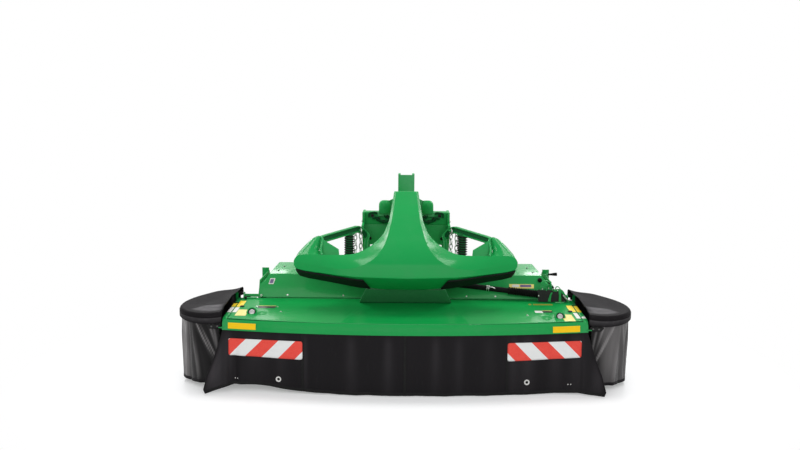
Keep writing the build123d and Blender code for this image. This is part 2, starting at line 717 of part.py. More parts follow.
for side_name, side in sides:
    with BuildPart() as side_rail:
        add(rail_tube(side, rail_radius))
    write(side_rail.part, f"side_rail_{side_name}")

    with BuildPart() as headstock_cheek:
        side_profile(side * cheek_inner, side * (cheek_outer - cheek_inner), [
            (length - 140, 640), (length, 640), (length, 800), (length - 120, 900), (length - 200, beam_top),
            (headstock_front, beam_top), (headstock_front, 1185), (headstock_front - 170, 1175),
            (headstock_front - 170, 1130), (headstock_front, 1060), (headstock_front + 80, 950),
            (length - 220, 760)])
        rod(side * (cheek_outer - 1), side * (cheek_outer + lower_pin_length), lower_pin_depth,
            lower_pin_height, lower_pin_radius)
        add(rail_tube(side, rail_radius + seat), mode=Mode.SUBTRACT)
    write(headstock_cheek.part, f"headstock_cheek_{side_name}")

ear_outer = 78.0
ear_thickness = 22.0
mast_front = length - 300.0
mast_plate = 16.0
shoulder_x = 198.0
shoulder_radius = 42.0
apron_inner = 130.0        # plates under the beam, clear of the tractor's drive shaft
apron_thickness = 10.0
with BuildPart() as headstock_beam:
    block(-cheek_inner, cheek_inner, headstock_front + 60, headstock_front + 200, beam_bottom, beam_top)
    fillet(headstock_beam.edges().filter_by(Axis.X), 10)
    cross_profile(mast_front, mast_plate, [
        (-240, beam_top - 1), (240, beam_top - 1), (240, beam_top + 60), (ear_outer, beam_top + 140),
        (ear_outer, top_height - 6), (-ear_outer, top_height - 6), (-ear_outer, beam_top + 140),
        (-240, beam_top + 60)])
    for side in (-1, 1):
        side_profile(side * (ear_outer - ear_thickness), side * ear_thickness, [
            (mast_front, beam_top - 1), (mast_front + 80, beam_top - 1), (length - 60, 1520), (length - 60, 1600),
            (length - 100, top_height), (mast_front, top_height)])
        rod(side * (ear_outer - ear_thickness - 1), side * (ear_outer + 1), top_link_depth, top_link_height,
            top_link_radius, mode=Mode.SUBTRACT)
        post(side * shoulder_x, mast_front - 60, beam_top - 1, beam_top + 105, shoulder_radius, shoulder_radius - 8)
        cross_profile(headstock_front + 62, apron_thickness, [
            (side * apron_inner, beam_bottom + 1), (side * apron_inner, beam_bottom - 90),
            (side * (apron_inner + 90), beam_bottom - 180), (side * cheek_inner, beam_bottom - 200),
            (side * cheek_inner, beam_bottom + 1)])
write(headstock_beam.part, "headstock_beam")

spine_half = 65.0
with BuildPart() as spine:
    side_profile(-spine_half, 2 * spine_half, [
        (crossbar_front + 40, crossbar_top), (crossbar_rear, crossbar_top), (1180, beam_top + 5),
        (headstock_front + 60, beam_top + 1), (mast_front - 10, beam_top + 1), (mast_front - 10, 1400),
        (headstock_front + 60, 1425), (1130, 1425), (crossbar_front + 40, 1110)])
write(spine.part, "spine")

rail_line = [(depth, (x, z)) for x, depth, z in rail_corners[2:4]]
for side_name, side in sides:
    with BuildPart() as suspension_strut:
        strut_x, strut_z = between(rail_line, strut_depth)[0]
        post(side * strut_x, strut_depth, hood_top + seat, strut_z - rail_radius - 4, strut_radius)
        post(side * strut_x, strut_depth, strut_z - rail_radius - 5, strut_z - rail_radius - seat, 8)
    write(suspension_strut.part, f"suspension_strut_{side_name}")

    with BuildPart() as lift_chain:
        chain_x, chain_z = between(rail_line, chain_depth)[0]
        block(side * (chain_x - chain_half), side * (chain_x + chain_half), chain_depth - chain_half,
              chain_depth + chain_half, hood_top + seat, chain_z - rail_radius - 4 * seat)
    write(lift_chain.part, f"lift_chain_{side_name}")

# ---------------------------------------------------------------- linkage cover
cover_skin = 5.0
# half-width, then depth and height of: lower rear edge, lower front edge, upper front edge, upper rear edge
beam_stations = [
    (0.0, (545, 745), (350, 872), (420, 1053), (700, 1070)),
    (300.0, (548, 750), (362, 876), (428, 1053), (706, 1068)),
    (440.0, (560, 792), (390, 888), (445, 1053), (720, 1062)),
    (660.0, (600, 838), (435, 900), (478, 1046), (725, 1055)),
    (720.0, (612, 850), (447, 903), (487, 1044), (790, 1140)),
    (880.0, (640, 885), (485, 915), (515, 1038), (790, 1140)),
    (930.0, (640, 920), (520, 945), (540, 1000), (760, 1095)),
]
cover_half = beam_stations[-1][0]
# height, depth of the front face, half-width, depth of the side walls
column_stations = [
    (1052.0, 422, 440, 240),
    (1100.0, 490, 300, 240),
    (1180.0, 615, 195, 250),
    (1300.0, 815, 145, 260),
    (1500.0, 1150, 122, 260),
]


def beam_section(x, corners):
    """One open section of the cover's beam, as a closed band of the skin's thickness."""
    (d0, z0), (d1, z1), (d2, z2), (d3, z3) = corners
    inner = [(d3, z3 - cover_skin), (d2 + cover_skin * 0.8, z2 - cover_skin),
             (d1 + cover_skin * 1.6, z1 + cover_skin * 0.4), (d0 + cover_skin * 0.5, z0 + cover_skin * 0.9)]
    with BuildSketch(Plane.YZ.offset(x)) as section:
        Polygon(*[(y_at(depth), height) for depth, height in [*corners, *inner]])
    return section.sketch


beam_sections = [beam_section(-x, corners) for x, *corners in reversed(beam_stations[1:])]
beam_sections += [beam_section(x, corners) for x, *corners in beam_stations]

column_sections = []
for z, front, half, walls in column_stations:
    with BuildSketch(Plane.XY.offset(z)) as section:
        inner_half = half - cover_skin
        Polygon((-half, y_at(front + walls)), (-half, y_at(front)), (half, y_at(front)),
                (half, y_at(front + walls)), (inner_half, y_at(front + walls)), (inner_half, y_at(front + cover_skin)),
                (-inner_half, y_at(front + cover_skin)), (-inner_half, y_at(front + walls)))
    column_sections.append(section.sketch)

trim_inner = 342.0
trim_outer = 880.0
trim_setback = 12.0


def underside(margin):
    """The lower skin of one arm of the cover, as a loft; a margin makes it the cut for it."""
    sections = []
    for x in (trim_inner - margin, 440, 660, 720, trim_outer + margin):
        rear, front = [Vector(*corner) for corner in between(beam_stations, x)[:2]]
        along = (front - rear).normalized()
        inward = Vector(-along.Y, along.X)
        start = rear - along * margin * 10
        end = front - along * (trim_setback - margin)
        corners = [start - inward * margin, end - inward * margin, end + inward * (cover_skin + 4 * margin),
                   start + inward * (cover_skin + 4 * margin)]
        with BuildSketch(Plane.YZ.offset(x)) as section:
            Polygon(*[(y_at(p.X), p.Y) for p in corners])
        sections.append(section.sketch)
    with BuildPart() as skin:
        loft(sections, ruled=True)
    return skin.part


trim = underside(0)
trim_cut = underside(0.5)

with BuildPart() as linkage_cover:
    loft(beam_sections, ruled=True)
    # the beam is open where the column stands on it
    block(-220, 220, 470, 800, 1030, 1110, mode=Mode.SUBTRACT)
    for side in (-1, 1):
        side_profile(side * (cover_half - cover_skin), side * cover_skin, beam_stations[-1][1:])
    add(trim_cut, mode=Mode.SUBTRACT)
    add(mirror(trim_cut, about=Plane.YZ, mode=Mode.PRIVATE), mode=Mode.SUBTRACT)
    loft(column_sections, ruled=True)
write(linkage_cover.part, "linkage_cover")

for side_name, side in sides:
    with BuildPart() as cover_trim:
        add(trim if side > 0 else mirror(trim, about=Plane.YZ, mode=Mode.PRIVATE))
    write(cover_trim.part, f"cover_trim_{side_name}")

# ---------------------------------------------------------------- crossbar, which carries the cover
cover_bracket_x = 300.0
cover_bracket_thickness = 12.0
cover_bracket_low = 940.0
cover_bracket_high = 985.0
leg_spacing = 150.0
with BuildPart() as crossbar:
    block(-crossbar_half, crossbar_half, crossbar_front, crossbar_rear, crossbar_bottom, crossbar_top)
    fillet(crossbar.edges().filter_by(Axis.X), 10)
    for x in (-leg_spacing, leg_spacing):
        block(x - 15, x + 15, crossbar_front + 20, crossbar_rear - 10, pedestal_top, crossbar_bottom + 1)
    low, high = between(beam_stations, cover_bracket_x + cover_bracket_thickness)[1:3]
    skin_low = (low[0] + cover_skin * 1.6 + seat, low[1] + cover_skin * 0.4)
    skin_high = (high[0] + cover_skin * 0.8 + seat, high[1] - cover_skin)
    run = (skin_high[0] - skin_low[0]) / (skin_high[1] - skin_low[1])
    for side in (-1, 1):
        side_profile(side * cover_bracket_x, side * cover_bracket_thickness, [
            (skin_low[0] + run * (cover_bracket_low - skin_low[1]), cover_bracket_low),
            (crossbar_front + 1, cover_bracket_low), (crossbar_front + 1, cover_bracket_high),
            (skin_low[0] + run * (cover_bracket_high - skin_low[1]), cover_bracket_high)])
write(crossbar.part, "crossbar")
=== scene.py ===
# Looks of the front-mounted disc mower conditioner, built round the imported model.
# +X is across the working width, the curtain faces -Y, +Z is up, and lengths are metres.
import json
import math
import bmesh
import bpy
from mathutils import Matrix, Vector

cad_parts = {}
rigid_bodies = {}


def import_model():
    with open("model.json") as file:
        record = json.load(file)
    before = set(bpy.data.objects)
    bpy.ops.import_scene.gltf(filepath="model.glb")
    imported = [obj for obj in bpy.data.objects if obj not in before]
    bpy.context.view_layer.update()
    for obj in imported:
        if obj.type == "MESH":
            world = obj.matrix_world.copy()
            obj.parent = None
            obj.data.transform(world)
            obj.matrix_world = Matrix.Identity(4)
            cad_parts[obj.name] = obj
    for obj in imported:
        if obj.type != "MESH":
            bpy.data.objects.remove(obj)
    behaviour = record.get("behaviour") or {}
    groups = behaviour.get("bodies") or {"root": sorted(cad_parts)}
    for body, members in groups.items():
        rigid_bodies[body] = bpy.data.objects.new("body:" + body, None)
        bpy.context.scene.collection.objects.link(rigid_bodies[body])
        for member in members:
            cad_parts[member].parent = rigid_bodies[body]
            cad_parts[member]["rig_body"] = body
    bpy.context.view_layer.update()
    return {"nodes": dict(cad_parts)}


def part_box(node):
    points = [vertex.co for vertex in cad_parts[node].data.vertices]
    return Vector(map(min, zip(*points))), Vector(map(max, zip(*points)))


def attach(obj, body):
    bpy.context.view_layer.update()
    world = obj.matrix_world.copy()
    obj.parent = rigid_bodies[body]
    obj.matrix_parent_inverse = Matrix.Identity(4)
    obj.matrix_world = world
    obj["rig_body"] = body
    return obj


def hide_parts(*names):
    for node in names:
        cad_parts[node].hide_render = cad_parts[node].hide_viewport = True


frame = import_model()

scene = bpy.context.scene
scene.view_settings.view_transform = "Standard"
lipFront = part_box("front_flap")[0].y      # depths are counted back from here
bothSides = (("left", -1), ("right", 1))


def at(x, depth, height):
    return Vector((x, lipFront + depth, height))


def blendOf(a, b, share):
    return a + (b - a) * share


def easeOf(value, low, high):
    share = min(1.0, max(0.0, (value - low) / (high - low)))
    return share * share * (3 - 2 * share)


def hump(value, centre, width):
    return math.exp(-((value - centre) / width) ** 2)


def onTable(table, value):
    # straight line between the rows of (value, result)
    if value <= table[0][0]:
        return table[0][1]
    for (v0, r0), (v1, r1) in zip(table, table[1:]):
        if value <= v1:
            return blendOf(r0, r1, (value - v0) / (v1 - v0))
    return table[-1][1]


def onCurve(rows, place):
    # smooth line through the rows, at a place counted in rows
    last = len(rows) - 1
    i = min(last - 1, max(0, int(place)))
    t = place - i
    p0, p1, p2, p3 = (rows[min(last, max(0, k))] for k in (i - 1, i, i + 1, i + 2))
    return [0.5 * (2 * b + (c - a) * t + (2 * a - 5 * b + 4 * c - d) * t * t + (3 * b - a - 3 * c + d)
                   * t ** 3)
            for a, b, c, d in zip(p0, p1, p2, p3)]


# ---- nodes: one class for a tree, one for its sockets

class Wire:
    # a socket, or a sum of sockets written as Python
    def __init__(self, graph, socket):
        self.graph = graph
        self.socket = socket

    def __add__(self, other):
        return self.graph.sum("ADD", self, other)

    def __sub__(self, other):
        return self.graph.sum("SUBTRACT", self, other)

    def __rsub__(self, other):
        return self.graph.sum("SUBTRACT", other, self)

    def __mul__(self, other):
        return self.graph.sum("MULTIPLY", self, other)

    def __truediv__(self, other):
        return self.graph.sum("DIVIDE", self, other)

    def __rtruediv__(self, other):
        return self.graph.sum("DIVIDE", other, self)

    def __mod__(self, other):
        return self.graph.sum("MODULO", self, other)

    def above(self, other):
        return self.graph.sum("GREATER_THAN", self, other)

    def power(self, other):
        return self.graph.sum("POWER", self, other)

    def sine(self):
        return self.graph.sum("SINE", self)

    def clamped(self):
        return self.graph.add("ShaderNodeClamp", inputs={"Value": self})

    __radd__ = __add__
    __rmul__ = __mul__


class Graph:
    def __init__(self, tree):
        self.tree = tree

    def add(self, kind, settings=None, inputs=None, output=0):
        node = self.tree.nodes.new(kind)
        for key, value in (settings or {}).items():
            if key == "stops":
                while len(node.color_ramp.elements) < len(value):
                    node.color_ramp.elements.new(0.5)
                for stop, (place, colour) in zip(node.color_ramp.elements, value):
                    stop.position = place
                    stop.color = colour
            else:
                setattr(node, key, value)
        for key, value in (inputs or {}).items():
            for one in value if isinstance(value, list) else [value]:
                if isinstance(one, Wire):
                    self.tree.links.new(one.socket, node.inputs[key])
                else:
                    node.inputs[key].default_value = one
        return Wire(self, node.outputs[output]) if len(node.outputs) else None

    def sum(self, operation, *values):
        return self.add("ShaderNodeMath", {"operation": operation}, dict(enumerate(values)))

    def mixed(self, share, first, second):
        return self.add("ShaderNodeMix", {"data_type": "RGBA"}, {0: share, 6: first, 7: second}, 2)

    def noise(self, where, scale, detail=2.0, output=0):
        return self.add("ShaderNodeTexNoise", inputs={"Vector": where, "Scale": scale, "Detail": detail},
                        output=output)

    def stretched(self, where, scale, turn=(0, 0, 0)):
        return self.add("ShaderNodeMapping", inputs={"Vector": where, "Scale": scale, "Rotation": turn})

    def bumped(self, height, strength, distance):
        return self.add("ShaderNodeBump", inputs={"Height": height, "Strength": strength,
                                                  "Distance": distance})


class Finish(Graph):
    # a material, and the places its patterns are read at
    def __init__(self, name):
        self.material = bpy.data.materials.new(name)
        self.material.use_nodes = True
        super().__init__(self.material.node_tree)
        self.tree.nodes.clear()
        self.place = self.add("ShaderNodeTexCoord", output="Object")

    def cloth(self):
        return self.add("ShaderNodeUVMap", {"uv_map": "cloth"})

    def surface(self, sockets):
        shader = self.add("ShaderNodeBsdfPrincipled", inputs=sockets)
        self.add("ShaderNodeOutputMaterial", inputs={"Surface": shader})
        return self.material


def tone(red, green, blue):
    return (red, green, blue, 1.0)


def darker(colour, share):
    return (colour[0] * share, colour[1] * share, colour[2] * share, 1.0)


# ---- finishes

def paintFinish(name, colour, roughness, coat=0.03, peel=0.12, dustAndHighlight=(0.14, 0.44, 0.22, 1.0)):
    # enamel: slow colour drift, fine orange peel, a little dust, and a painted highlight along sharp convex
    # edges
    m = Finish(name)
    cloud = m.noise(m.place, 1.7, 3)
    fine = m.noise(m.place, 38, 4)
    peelBumps = m.noise(m.place, 330, 1)
    dust = (m.noise(m.place, 6, 5) - 0.5).clamped() * 0.35
    body = m.mixed(cloud, darker(colour, 0.92), darker(colour, 1.08))
    body = m.mixed(dust, body, darker(dustAndHighlight, 0.6))
    # painted highlight: convex edges take the paler tone, standing for light caught there
    corner = m.add("ShaderNodeNewGeometry", output="Pointiness")
    paintedHighlight = ((corner - 0.515).clamped() * 9.0).clamped() * (fine * 0.3 + 0.35)
    body = m.mixed(paintedHighlight, body, dustAndHighlight)
    return m.surface({
        "Base Color": body, "Roughness": cloud * 0.05 + fine * 0.04 + (roughness - 0.045),
        "Coat Weight": coat, "Coat Roughness": 0.14, "Specular IOR Level": 0.02,
        "Normal": m.bumped(peelBumps, peel, 0.0004)})


def metalFinish(name, colour, roughness, metallic=1.0, grain=90, wear=0.3):
    m = Finish(name)
    blotch = m.noise(m.place, grain, 5)
    streak = m.noise(m.stretched(m.place, (12, 260, 260)), 1.0, 3)
    stain = m.noise(m.place, 11, 4)
    return m.surface({
        "Base Color": m.mixed((stain - 0.45).clamped() * wear * 2, colour, darker(colour, 0.45)),
        "Metallic": metallic, "Roughness": blotch * 0.16 + streak * 0.08 + (roughness - 0.12),
        "Normal": m.bumped(blotch + streak * 0.5, 0.18, 0.0004)})


def castFinish(name, colour):
    # painted casting: a sand-grained skin under gloss
    m = Finish(name)
    grain = m.noise(m.place, 210, 4)
    pits = m.add("ShaderNodeTexVoronoi", inputs={"Vector": m.place, "Scale": 95})
    cloud = m.noise(m.place, 5, 4)
    return m.surface({
        "Base Color": m.mixed(cloud, darker(colour, 0.8), colour), "Roughness": cloud * 0.12 + 0.34,
        "Coat Weight": 0.25, "Coat Roughness": 0.2,
        "Normal": m.bumped(grain + pits * 0.6, 0.35, 0.0012)})


def plasticFinish(name, colour, roughness, grainSize=420, bump=0.25, sheenTone=None, gloss=0.035):
    m = Finish(name)
    grain = m.add("ShaderNodeTexVoronoi", inputs={"Vector": m.place, "Scale": grainSize})
    cloud = m.noise(m.place, 4.5, 5)
    scuff = m.noise(m.stretched(m.place, (5, 22, 22), (0.3, 0.5, 0.2)), 3, 6)
    marks = (scuff - 0.56).clamped() * 2.5
    body = m.mixed(marks.clamped(), m.mixed(cloud, darker(colour, 0.75), darker(colour, 1.25)),
                   darker(colour, 2.2))
    # optional painted highlight: a paler tone where the per-point attribute says
    if sheenTone:
        crest = m.add("ShaderNodeAttribute", {"attribute_name": "crest"}, output="Fac")
        body = m.mixed((crest * (scuff + 0.4)).clamped(), body, sheenTone)
    return m.surface({
        "Base Color": body, "Roughness": cloud * 0.14 + (roughness - 0.07), "Specular IOR Level": gloss,
        "Normal": m.bumped(grain, bump, 0.0006)})


def vinylFinish(name, colour, roughness, shine, sheenColour, weave=900):
    # coated cloth: a fine basket weave shows through the coat, and a painted highlight in a paler colour lies
    # along the crests of its folds
    m = Finish(name)
    cloth = m.cloth()
    across = m.add("ShaderNodeTexWave", {"bands_direction": "X"}, {"Vector": cloth, "Scale": weave * 0.16})
    along = m.add("ShaderNodeTexWave", {"bands_direction": "Y"}, {"Vector": cloth, "Scale": weave * 0.16})
    creases = m.noise(m.stretched(cloth, (7.0, 1.1, 1.0)), 1.0, 5)
    blotch = m.noise(m.stretched(cloth, (2.2, 1.4, 1.0)), 1.6, 4)
    scuff = m.noise(m.stretched(cloth, (40, 9, 1)), 1.0, 6)
    marks = ((scuff - 0.60).clamped() * 2.0).clamped()
    # the per-point attribute says where the painted highlight goes; the last colour is its paler tone
    crest = m.add("ShaderNodeAttribute", {"attribute_name": "crest"}, output="Fac")
    sheenStrength = (crest * (creases * 1.4 + 0.3)).clamped()
    body = m.mixed(blotch, darker(colour, 0.75), darker(colour, 1.30))
    body = m.mixed(marks, body, darker(colour, 2.2))
    return m.surface({
        "Base Color": m.mixed(sheenStrength, body, sheenColour),
        "Roughness": creases * 0.16 + (roughness - 0.08), "Specular IOR Level": shine,
        "Normal": m.bumped(across * along * 0.5 + creases * 1.6, 0.5, 0.0006)})


def rubberFinish(name):
    m = Finish(name)
    grain = m.noise(m.place, 260, 4)
    cloud = m.noise(m.place, 9, 4)
    return m.surface({
        "Base Color": m.mixed(cloud, tone(0.004, 0.004, 0.004), tone(0.014, 0.014, 0.014)),
        "Roughness": cloud * 0.15 + 0.5, "Specular IOR Level": 0.12, "Normal": m.bumped(grain, 0.3, 0.0006)})


def markFinish(name, colour, second, edge=0.12):
    # a plain printed film patch, a little worn and yellowed at random
    m = Finish(name)
    cloud = m.noise(m.place, 55, 5)
    beads = m.add("ShaderNodeTexVoronoi", inputs={"Vector": m.place, "Scale": 700})
    return m.surface({
        "Base Color": m.mixed(((cloud - 0.5) * 1.6).clamped(), colour, second),
        "Roughness": cloud * 0.15 + 0.3, "Coat Weight": 0.04, "Coat Roughness": 0.1,
        "Specular IOR Level": 0.1,
        "Normal": m.bumped(beads, edge, 0.0002)})


def foilFinish(name):
    # warning-board foil: broad slanting bands, over a honeycomb of tiny prisms
    m = Finish(name)
    cloth = m.cloth()
    across = m.add("ShaderNodeSeparateXYZ", inputs={"Vector": cloth})
    down = Wire(m, across.socket.node.outputs[1])
    band = (((across + down - 0.012 + 0.268) / 0.268) % 1.0).above(0.50)
    cells = m.add("ShaderNodeTexVoronoi", {"feature": "DISTANCE_TO_EDGE"}, {"Vector": cloth, "Scale": 330})
    ridge = ((0.12 - cells).clamped() * 6).clamped()
    cloud = m.noise(cloth, 30, 4)
    red = m.mixed(cloud, tone(0.76, 0.040, 0.028), tone(0.86, 0.075, 0.048))
    white = m.mixed(cloud, tone(0.76, 0.77, 0.76), tone(0.85, 0.86, 0.85))
    return m.surface({
        "Base Color": m.mixed(ridge * 0.12, m.mixed(band, red, white), tone(0.9, 0.85, 0.8)),
        "Roughness": cloud * 0.1 + 0.32, "Coat Weight": 0.04, "Coat Roughness": 0.1,
        "Specular IOR Level": 0.12,
        "Normal": m.bumped(ridge, 0.2, 0.0002)})


def reflectorFinish(name, colour):
    m = Finish(name)
    prisms = m.add("ShaderNodeTexChecker", inputs={"Vector": m.stretched(m.place, (1, 1, 1), (0, 0.78, 0)),
                                                   "Scale": 300.0}, output=1)
    cloud = m.noise(m.place, 40, 3)
    return m.surface({
        "Base Color": m.mixed(prisms * 0.10, m.mixed(cloud, colour, darker(colour, 0.9)),
                              darker(colour, 0.7)),
        "Roughness": cloud * 0.08 + 0.2, "Coat Weight": 0.06, "Coat Roughness": 0.05,
        "Specular IOR Level": 0.1,
        "Normal": m.bumped(prisms, 0.15, 0.0002)})


green = tone(0.006, 0.308, 0.062)
finishes = {
    "greenPaint": paintFinish("greenPaint", green, 0.36, coat=0.08),
    "greenGloss": paintFinish("greenGlossPaint", green, 0.34, coat=0.24, peel=0.06),
    "greenCover": paintFinish("greenCoverPaint", tone(0.008, 0.318, 0.070), 0.34, coat=0.20, peel=0.05),
    # darker copies of the green paint, for parts that stand in shade: painted shade
    "greenDeep": paintFinish("greenShadedPaint", tone(0.007, 0.15, 0.04), 0.42, coat=0.02),
    "greenShade": paintFinish("greenPrimedPaint", tone(0.003, 0.050, 0.016), 0.45, coat=0.05,
                              dustAndHighlight=tone(0.02, 0.18, 0.06)),
    "blackPaint": paintFinish("blackPaint", tone(0.010, 0.010, 0.010), 0.45, coat=0.10,
                              dustAndHighlight=tone(0.05, 0.05, 0.05)),
    "discSteel": metalFinish("discSteel", tone(0.09, 0.085, 0.08), 0.45, 0.8, 60, 0.8),
    "barSteel": metalFinish("barSteel", tone(0.06, 0.058, 0.055), 0.5, 0.7, 40, 0.9),
    "zincSteel": metalFinish("zincSteel", tone(0.62, 0.62, 0.60), 0.32, 1.0, 120, 0.35),
    "darkSteel": metalFinish("darkSteel", tone(0.10, 0.10, 0.10), 0.38, 0.9, 80, 0.5),
    "latchSteel": metalFinish("latchSteel", tone(0.42, 0.42, 0.41), 0.30, 1.0, 140, 0.2),
    "gearboxIron": castFinish("gearboxIron", tone(0.010, 0.22, 0.055)),
    # each vinyl's last colour is the paler tone of its painted highlight; the shield plastic's paler tone is
    # one too
    "frontVinyl": vinylFinish("frontCurtainVinyl", tone(0.0076, 0.0066, 0.0078), 0.52, 0.10,
                              tone(0.056, 0.051, 0.056)),
    "sideVinyl": vinylFinish("sideCurtainVinyl", tone(0.0060, 0.0055, 0.0058), 0.30, 0.14,
                             tone(0.21, 0.20, 0.20)),
    "shieldPlastic": plasticFinish("shieldPlastic", tone(0.0140, 0.0128, 0.0140), 0.44,
                                   sheenTone=tone(0.140, 0.135, 0.140), gloss=0.010),
    "guardPlastic": plasticFinish("guardPlastic", tone(0.010, 0.010, 0.010), 0.5, 300),
    "trimRubber": rubberFinish("trimRubber"),
    "frontSeam": rubberFinish("curtainSeam"),
    "threadGrey": rubberFinish("seamThread"),
    "hazardFoil": foilFinish("hazardFoil"),
    "reflector": reflectorFinish("amberReflector", tone(1.0, 0.62, 0.012)),
    "yellowMark": markFinish("yellowPatch", tone(0.98, 0.70, 0.04), tone(0.88, 0.58, 0.02)),
    "creamMark": markFinish("creamPatch", tone(0.90, 0.76, 0.24), tone(0.85, 0.68, 0.16)),
    "whiteMark": markFinish("whitePatch", tone(0.80, 0.79, 0.74), tone(0.68, 0.66, 0.60)),
    "darkMark": markFinish("darkPatch", tone(0.012, 0.012, 0.012), tone(0.03, 0.02, 0.02)),
    "goldMark": markFinish("goldPatch", tone(0.30, 0.27, 0.03), tone(0.16, 0.20, 0.03)),
    "violetMark": markFinish("violetPatch", tone(0.20, 0.15, 0.28), tone(0.10, 0.07, 0.14)),
}
print("finishes made:", len(finishes))

# ---- shapes

def seated(piece, body, finish, smooth=32.0):
    # gives a finished mesh its finish, its shading and the body it rides on
    mesh = piece.data
    mesh.materials.clear()
    mesh.materials.append(finishes[finish])
    mesh.shade_smooth()
    mesh.set_sharp_from_angle(angle=math.radians(smooth))
    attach(piece, body)
    return piece


def newPiece(name, points, faces, body, finish, slotName=None, smooth=32.0, bevel=0.0, wall=0.0, outward=True,
             cloth=None, crest=None, subdivide=0):
    mesh = bpy.data.meshes.new(name)
    mesh.from_pydata([tuple(p) for p in points], [], faces)
    if crest:      # how strong each point's painted highlight is
        mesh.attributes.new("crest", "FLOAT", "POINT").data.foreach_set("value", crest)
    if cloth:      # places on the cloth in metres, one for each point
        layer = mesh.uv_layers.new(name="cloth")
        for loop in mesh.loops:
            layer.data[loop.index].uv = cloth[loop.vertex_index]
    bm = bmesh.new()
    bm.from_mesh(mesh)
    bmesh.ops.remove_doubles(bm, verts=bm.verts, dist=2e-5)
    if outward:
        bmesh.ops.recalc_face_normals(bm, faces=bm.faces)
    bm.to_mesh(mesh)
    bm.free()
    piece = bpy.data.objects.new(name, mesh)
    scene.collection.objects.link(piece)
    seated(piece, body, finish, smooth)
    if wall:
        solid = piece.modifiers.new("wall", "SOLIDIFY")
        solid.thickness = wall
        solid.offset = -1.0 if wall > 0 else 1.0
        solid.thickness = abs(wall)
        solid.use_even_offset = True
    if bevel:
        edge = piece.modifiers.new("edges", "BEVEL")
        edge.width = bevel
        edge.segments = 2
        edge.limit_method = "ANGLE"
        edge.angle_limit = math.radians(34)
    if subdivide:
        finer = piece.modifiers.new("finer", "SUBSURF")
        finer.levels = finer.render_levels = subdivide
    return piece


def gridFaces(rows, columns, closed=False):
    faces = []
    for i in range(rows - 1):
        for j in range(columns if closed else columns - 1):
            k = (j + 1) % columns
            faces.append((i * columns + j, i * columns + k, (i + 1) * columns + k, (i + 1) * columns + j))
    return faces


def sweptMesh(stations, section):
    # a closed section carried through (centre, across, up) stations, with both ends capped
    points = [c + a * x + u * y for c, a, u in stations for x, y in section]
    faces = gridFaces(len(stations), len(section), closed=True)
    count = len(section)
    faces.append(tuple(range(count)))
    faces.append(tuple(range((len(stations) - 1) * count, len(stations) * count)))
    return points, faces


def alongPath(path, upHint):
    # stations square to a path, with one side kept near upHint
    stations = []
    for i, point in enumerate(path):
        ahead = (path[min(i + 1, len(path) - 1)] - path[max(i - 1, 0)]).normalized()
        across = ahead.cross(upHint).normalized()
        stations.append((point, across, across.cross(ahead).normalized()))
    return stations


def roundedPath(corners, radii, steps=7):
    # straight runs joined by curved bends
    path = [corners[0]]
    for before, corner, after, radius in zip(corners, corners[1:], corners[2:], radii):
        toBefore, toAfter = (before - corner), (after - corner)
        reach = min(radius, toBefore.length * 0.48, toAfter.length * 0.48)
        start, end = corner + toBefore.normalized() * reach, corner + toAfter.normalized() * reach
        for i in range(steps + 1):
            t = i / steps
            path.append(start * (1 - t) ** 2 + corner * 2 * t * (1 - t) + end * t * t)
    path.append(corners[-1])
    return path


def ringSection(radius, count=14, squash=1.0):
    return [(radius * math.cos(2 * math.pi * i / count), squash * radius * math.sin(2 * math.pi * i / count))
            for i in range(count)]


def roundedBox(width, height, corner, steps=4):
    section = []
    for cx, cy, start in ((1, 1, 0), (-1, 1, 90), (-1, -1, 180), (1, -1, 270)):
        for i in range(steps + 1):
            angle = math.radians(start + 90 * i / steps)
            section.append((cx * (width / 2 - corner) + corner * math.cos(angle),
                            cy * (height / 2 - corner) + corner * math.sin(angle)))
    return section


def turnedMesh(origin, axis, profile, count=28):
    # a turned shape: profile rows are (distance along the axis, radius)
    axis = axis.normalized()
    across = axis.orthogonal().normalized()
    up = axis.cross(across)
    points = [origin + axis * a + (across * math.cos(t) + up * math.sin(t)) * r
              for a, r in profile for t in (2 * math.pi * i / count for i in range(count))]
    faces = gridFaces(len(profile), count, closed=True)
    faces.append(tuple(range(count)))
    faces.append(tuple(range((len(profile) - 1) * count, len(profile) * count)))
    return points, faces


def plateMesh(outline, thickness):
    # a flat plate from its outline and a thickness vector
    count = len(outline)
    points = list(outline) + [p + thickness for p in outline]
    faces = [(i, (i + 1) % count, count + (i + 1) % count, count + i) for i in range(count)]
    return points, faces + [tuple(range(count)), tuple(range(count, 2 * count))]


def joined(*meshes):
    points, faces = [], []
    for some, theirs in meshes:
        faces += [tuple(i + len(points) for i in face) for face in theirs]
        points += list(some)
    return points, faces


def softened(node, finish, width=0.0015, segments=2, smooth=32.0):
    # a copy of a CAD node with its edges broken, which stands for the node
    mesh = frame["nodes"][node].data.copy()
    mesh.name = node + "_finished"
    bm = bmesh.new()
    bm.from_mesh(mesh)
    bmesh.ops.remove_doubles(bm, verts=bm.verts, dist=2e-5)
    bmesh.ops.dissolve_limit(bm, angle_limit=math.radians(0.8), verts=bm.verts, edges=bm.edges)
    sharp = [e for e in bm.edges if len(e.link_faces) == 2 and e.calc_face_angle() > math.radians(30)]
    if width:
        bmesh.ops.bevel(bm, geom=sharp, offset=width, offset_type="OFFSET", segments=segments, profile=0.6,
                        affect="EDGES", clamp_overlap=True)
    bmesh.ops.triangulate(bm, faces=[f for f in bm.faces if len(f.verts) > 4])
    bm.to_mesh(mesh)
    bm.free()
    piece = bpy.data.objects.new(node + "_finished", mesh)
    scene.collection.objects.link(piece)
    seated(piece, frame["nodes"][node]["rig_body"], finish, smooth)
    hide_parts(node)
    return piece


# ---- geometry node trees for what repeats

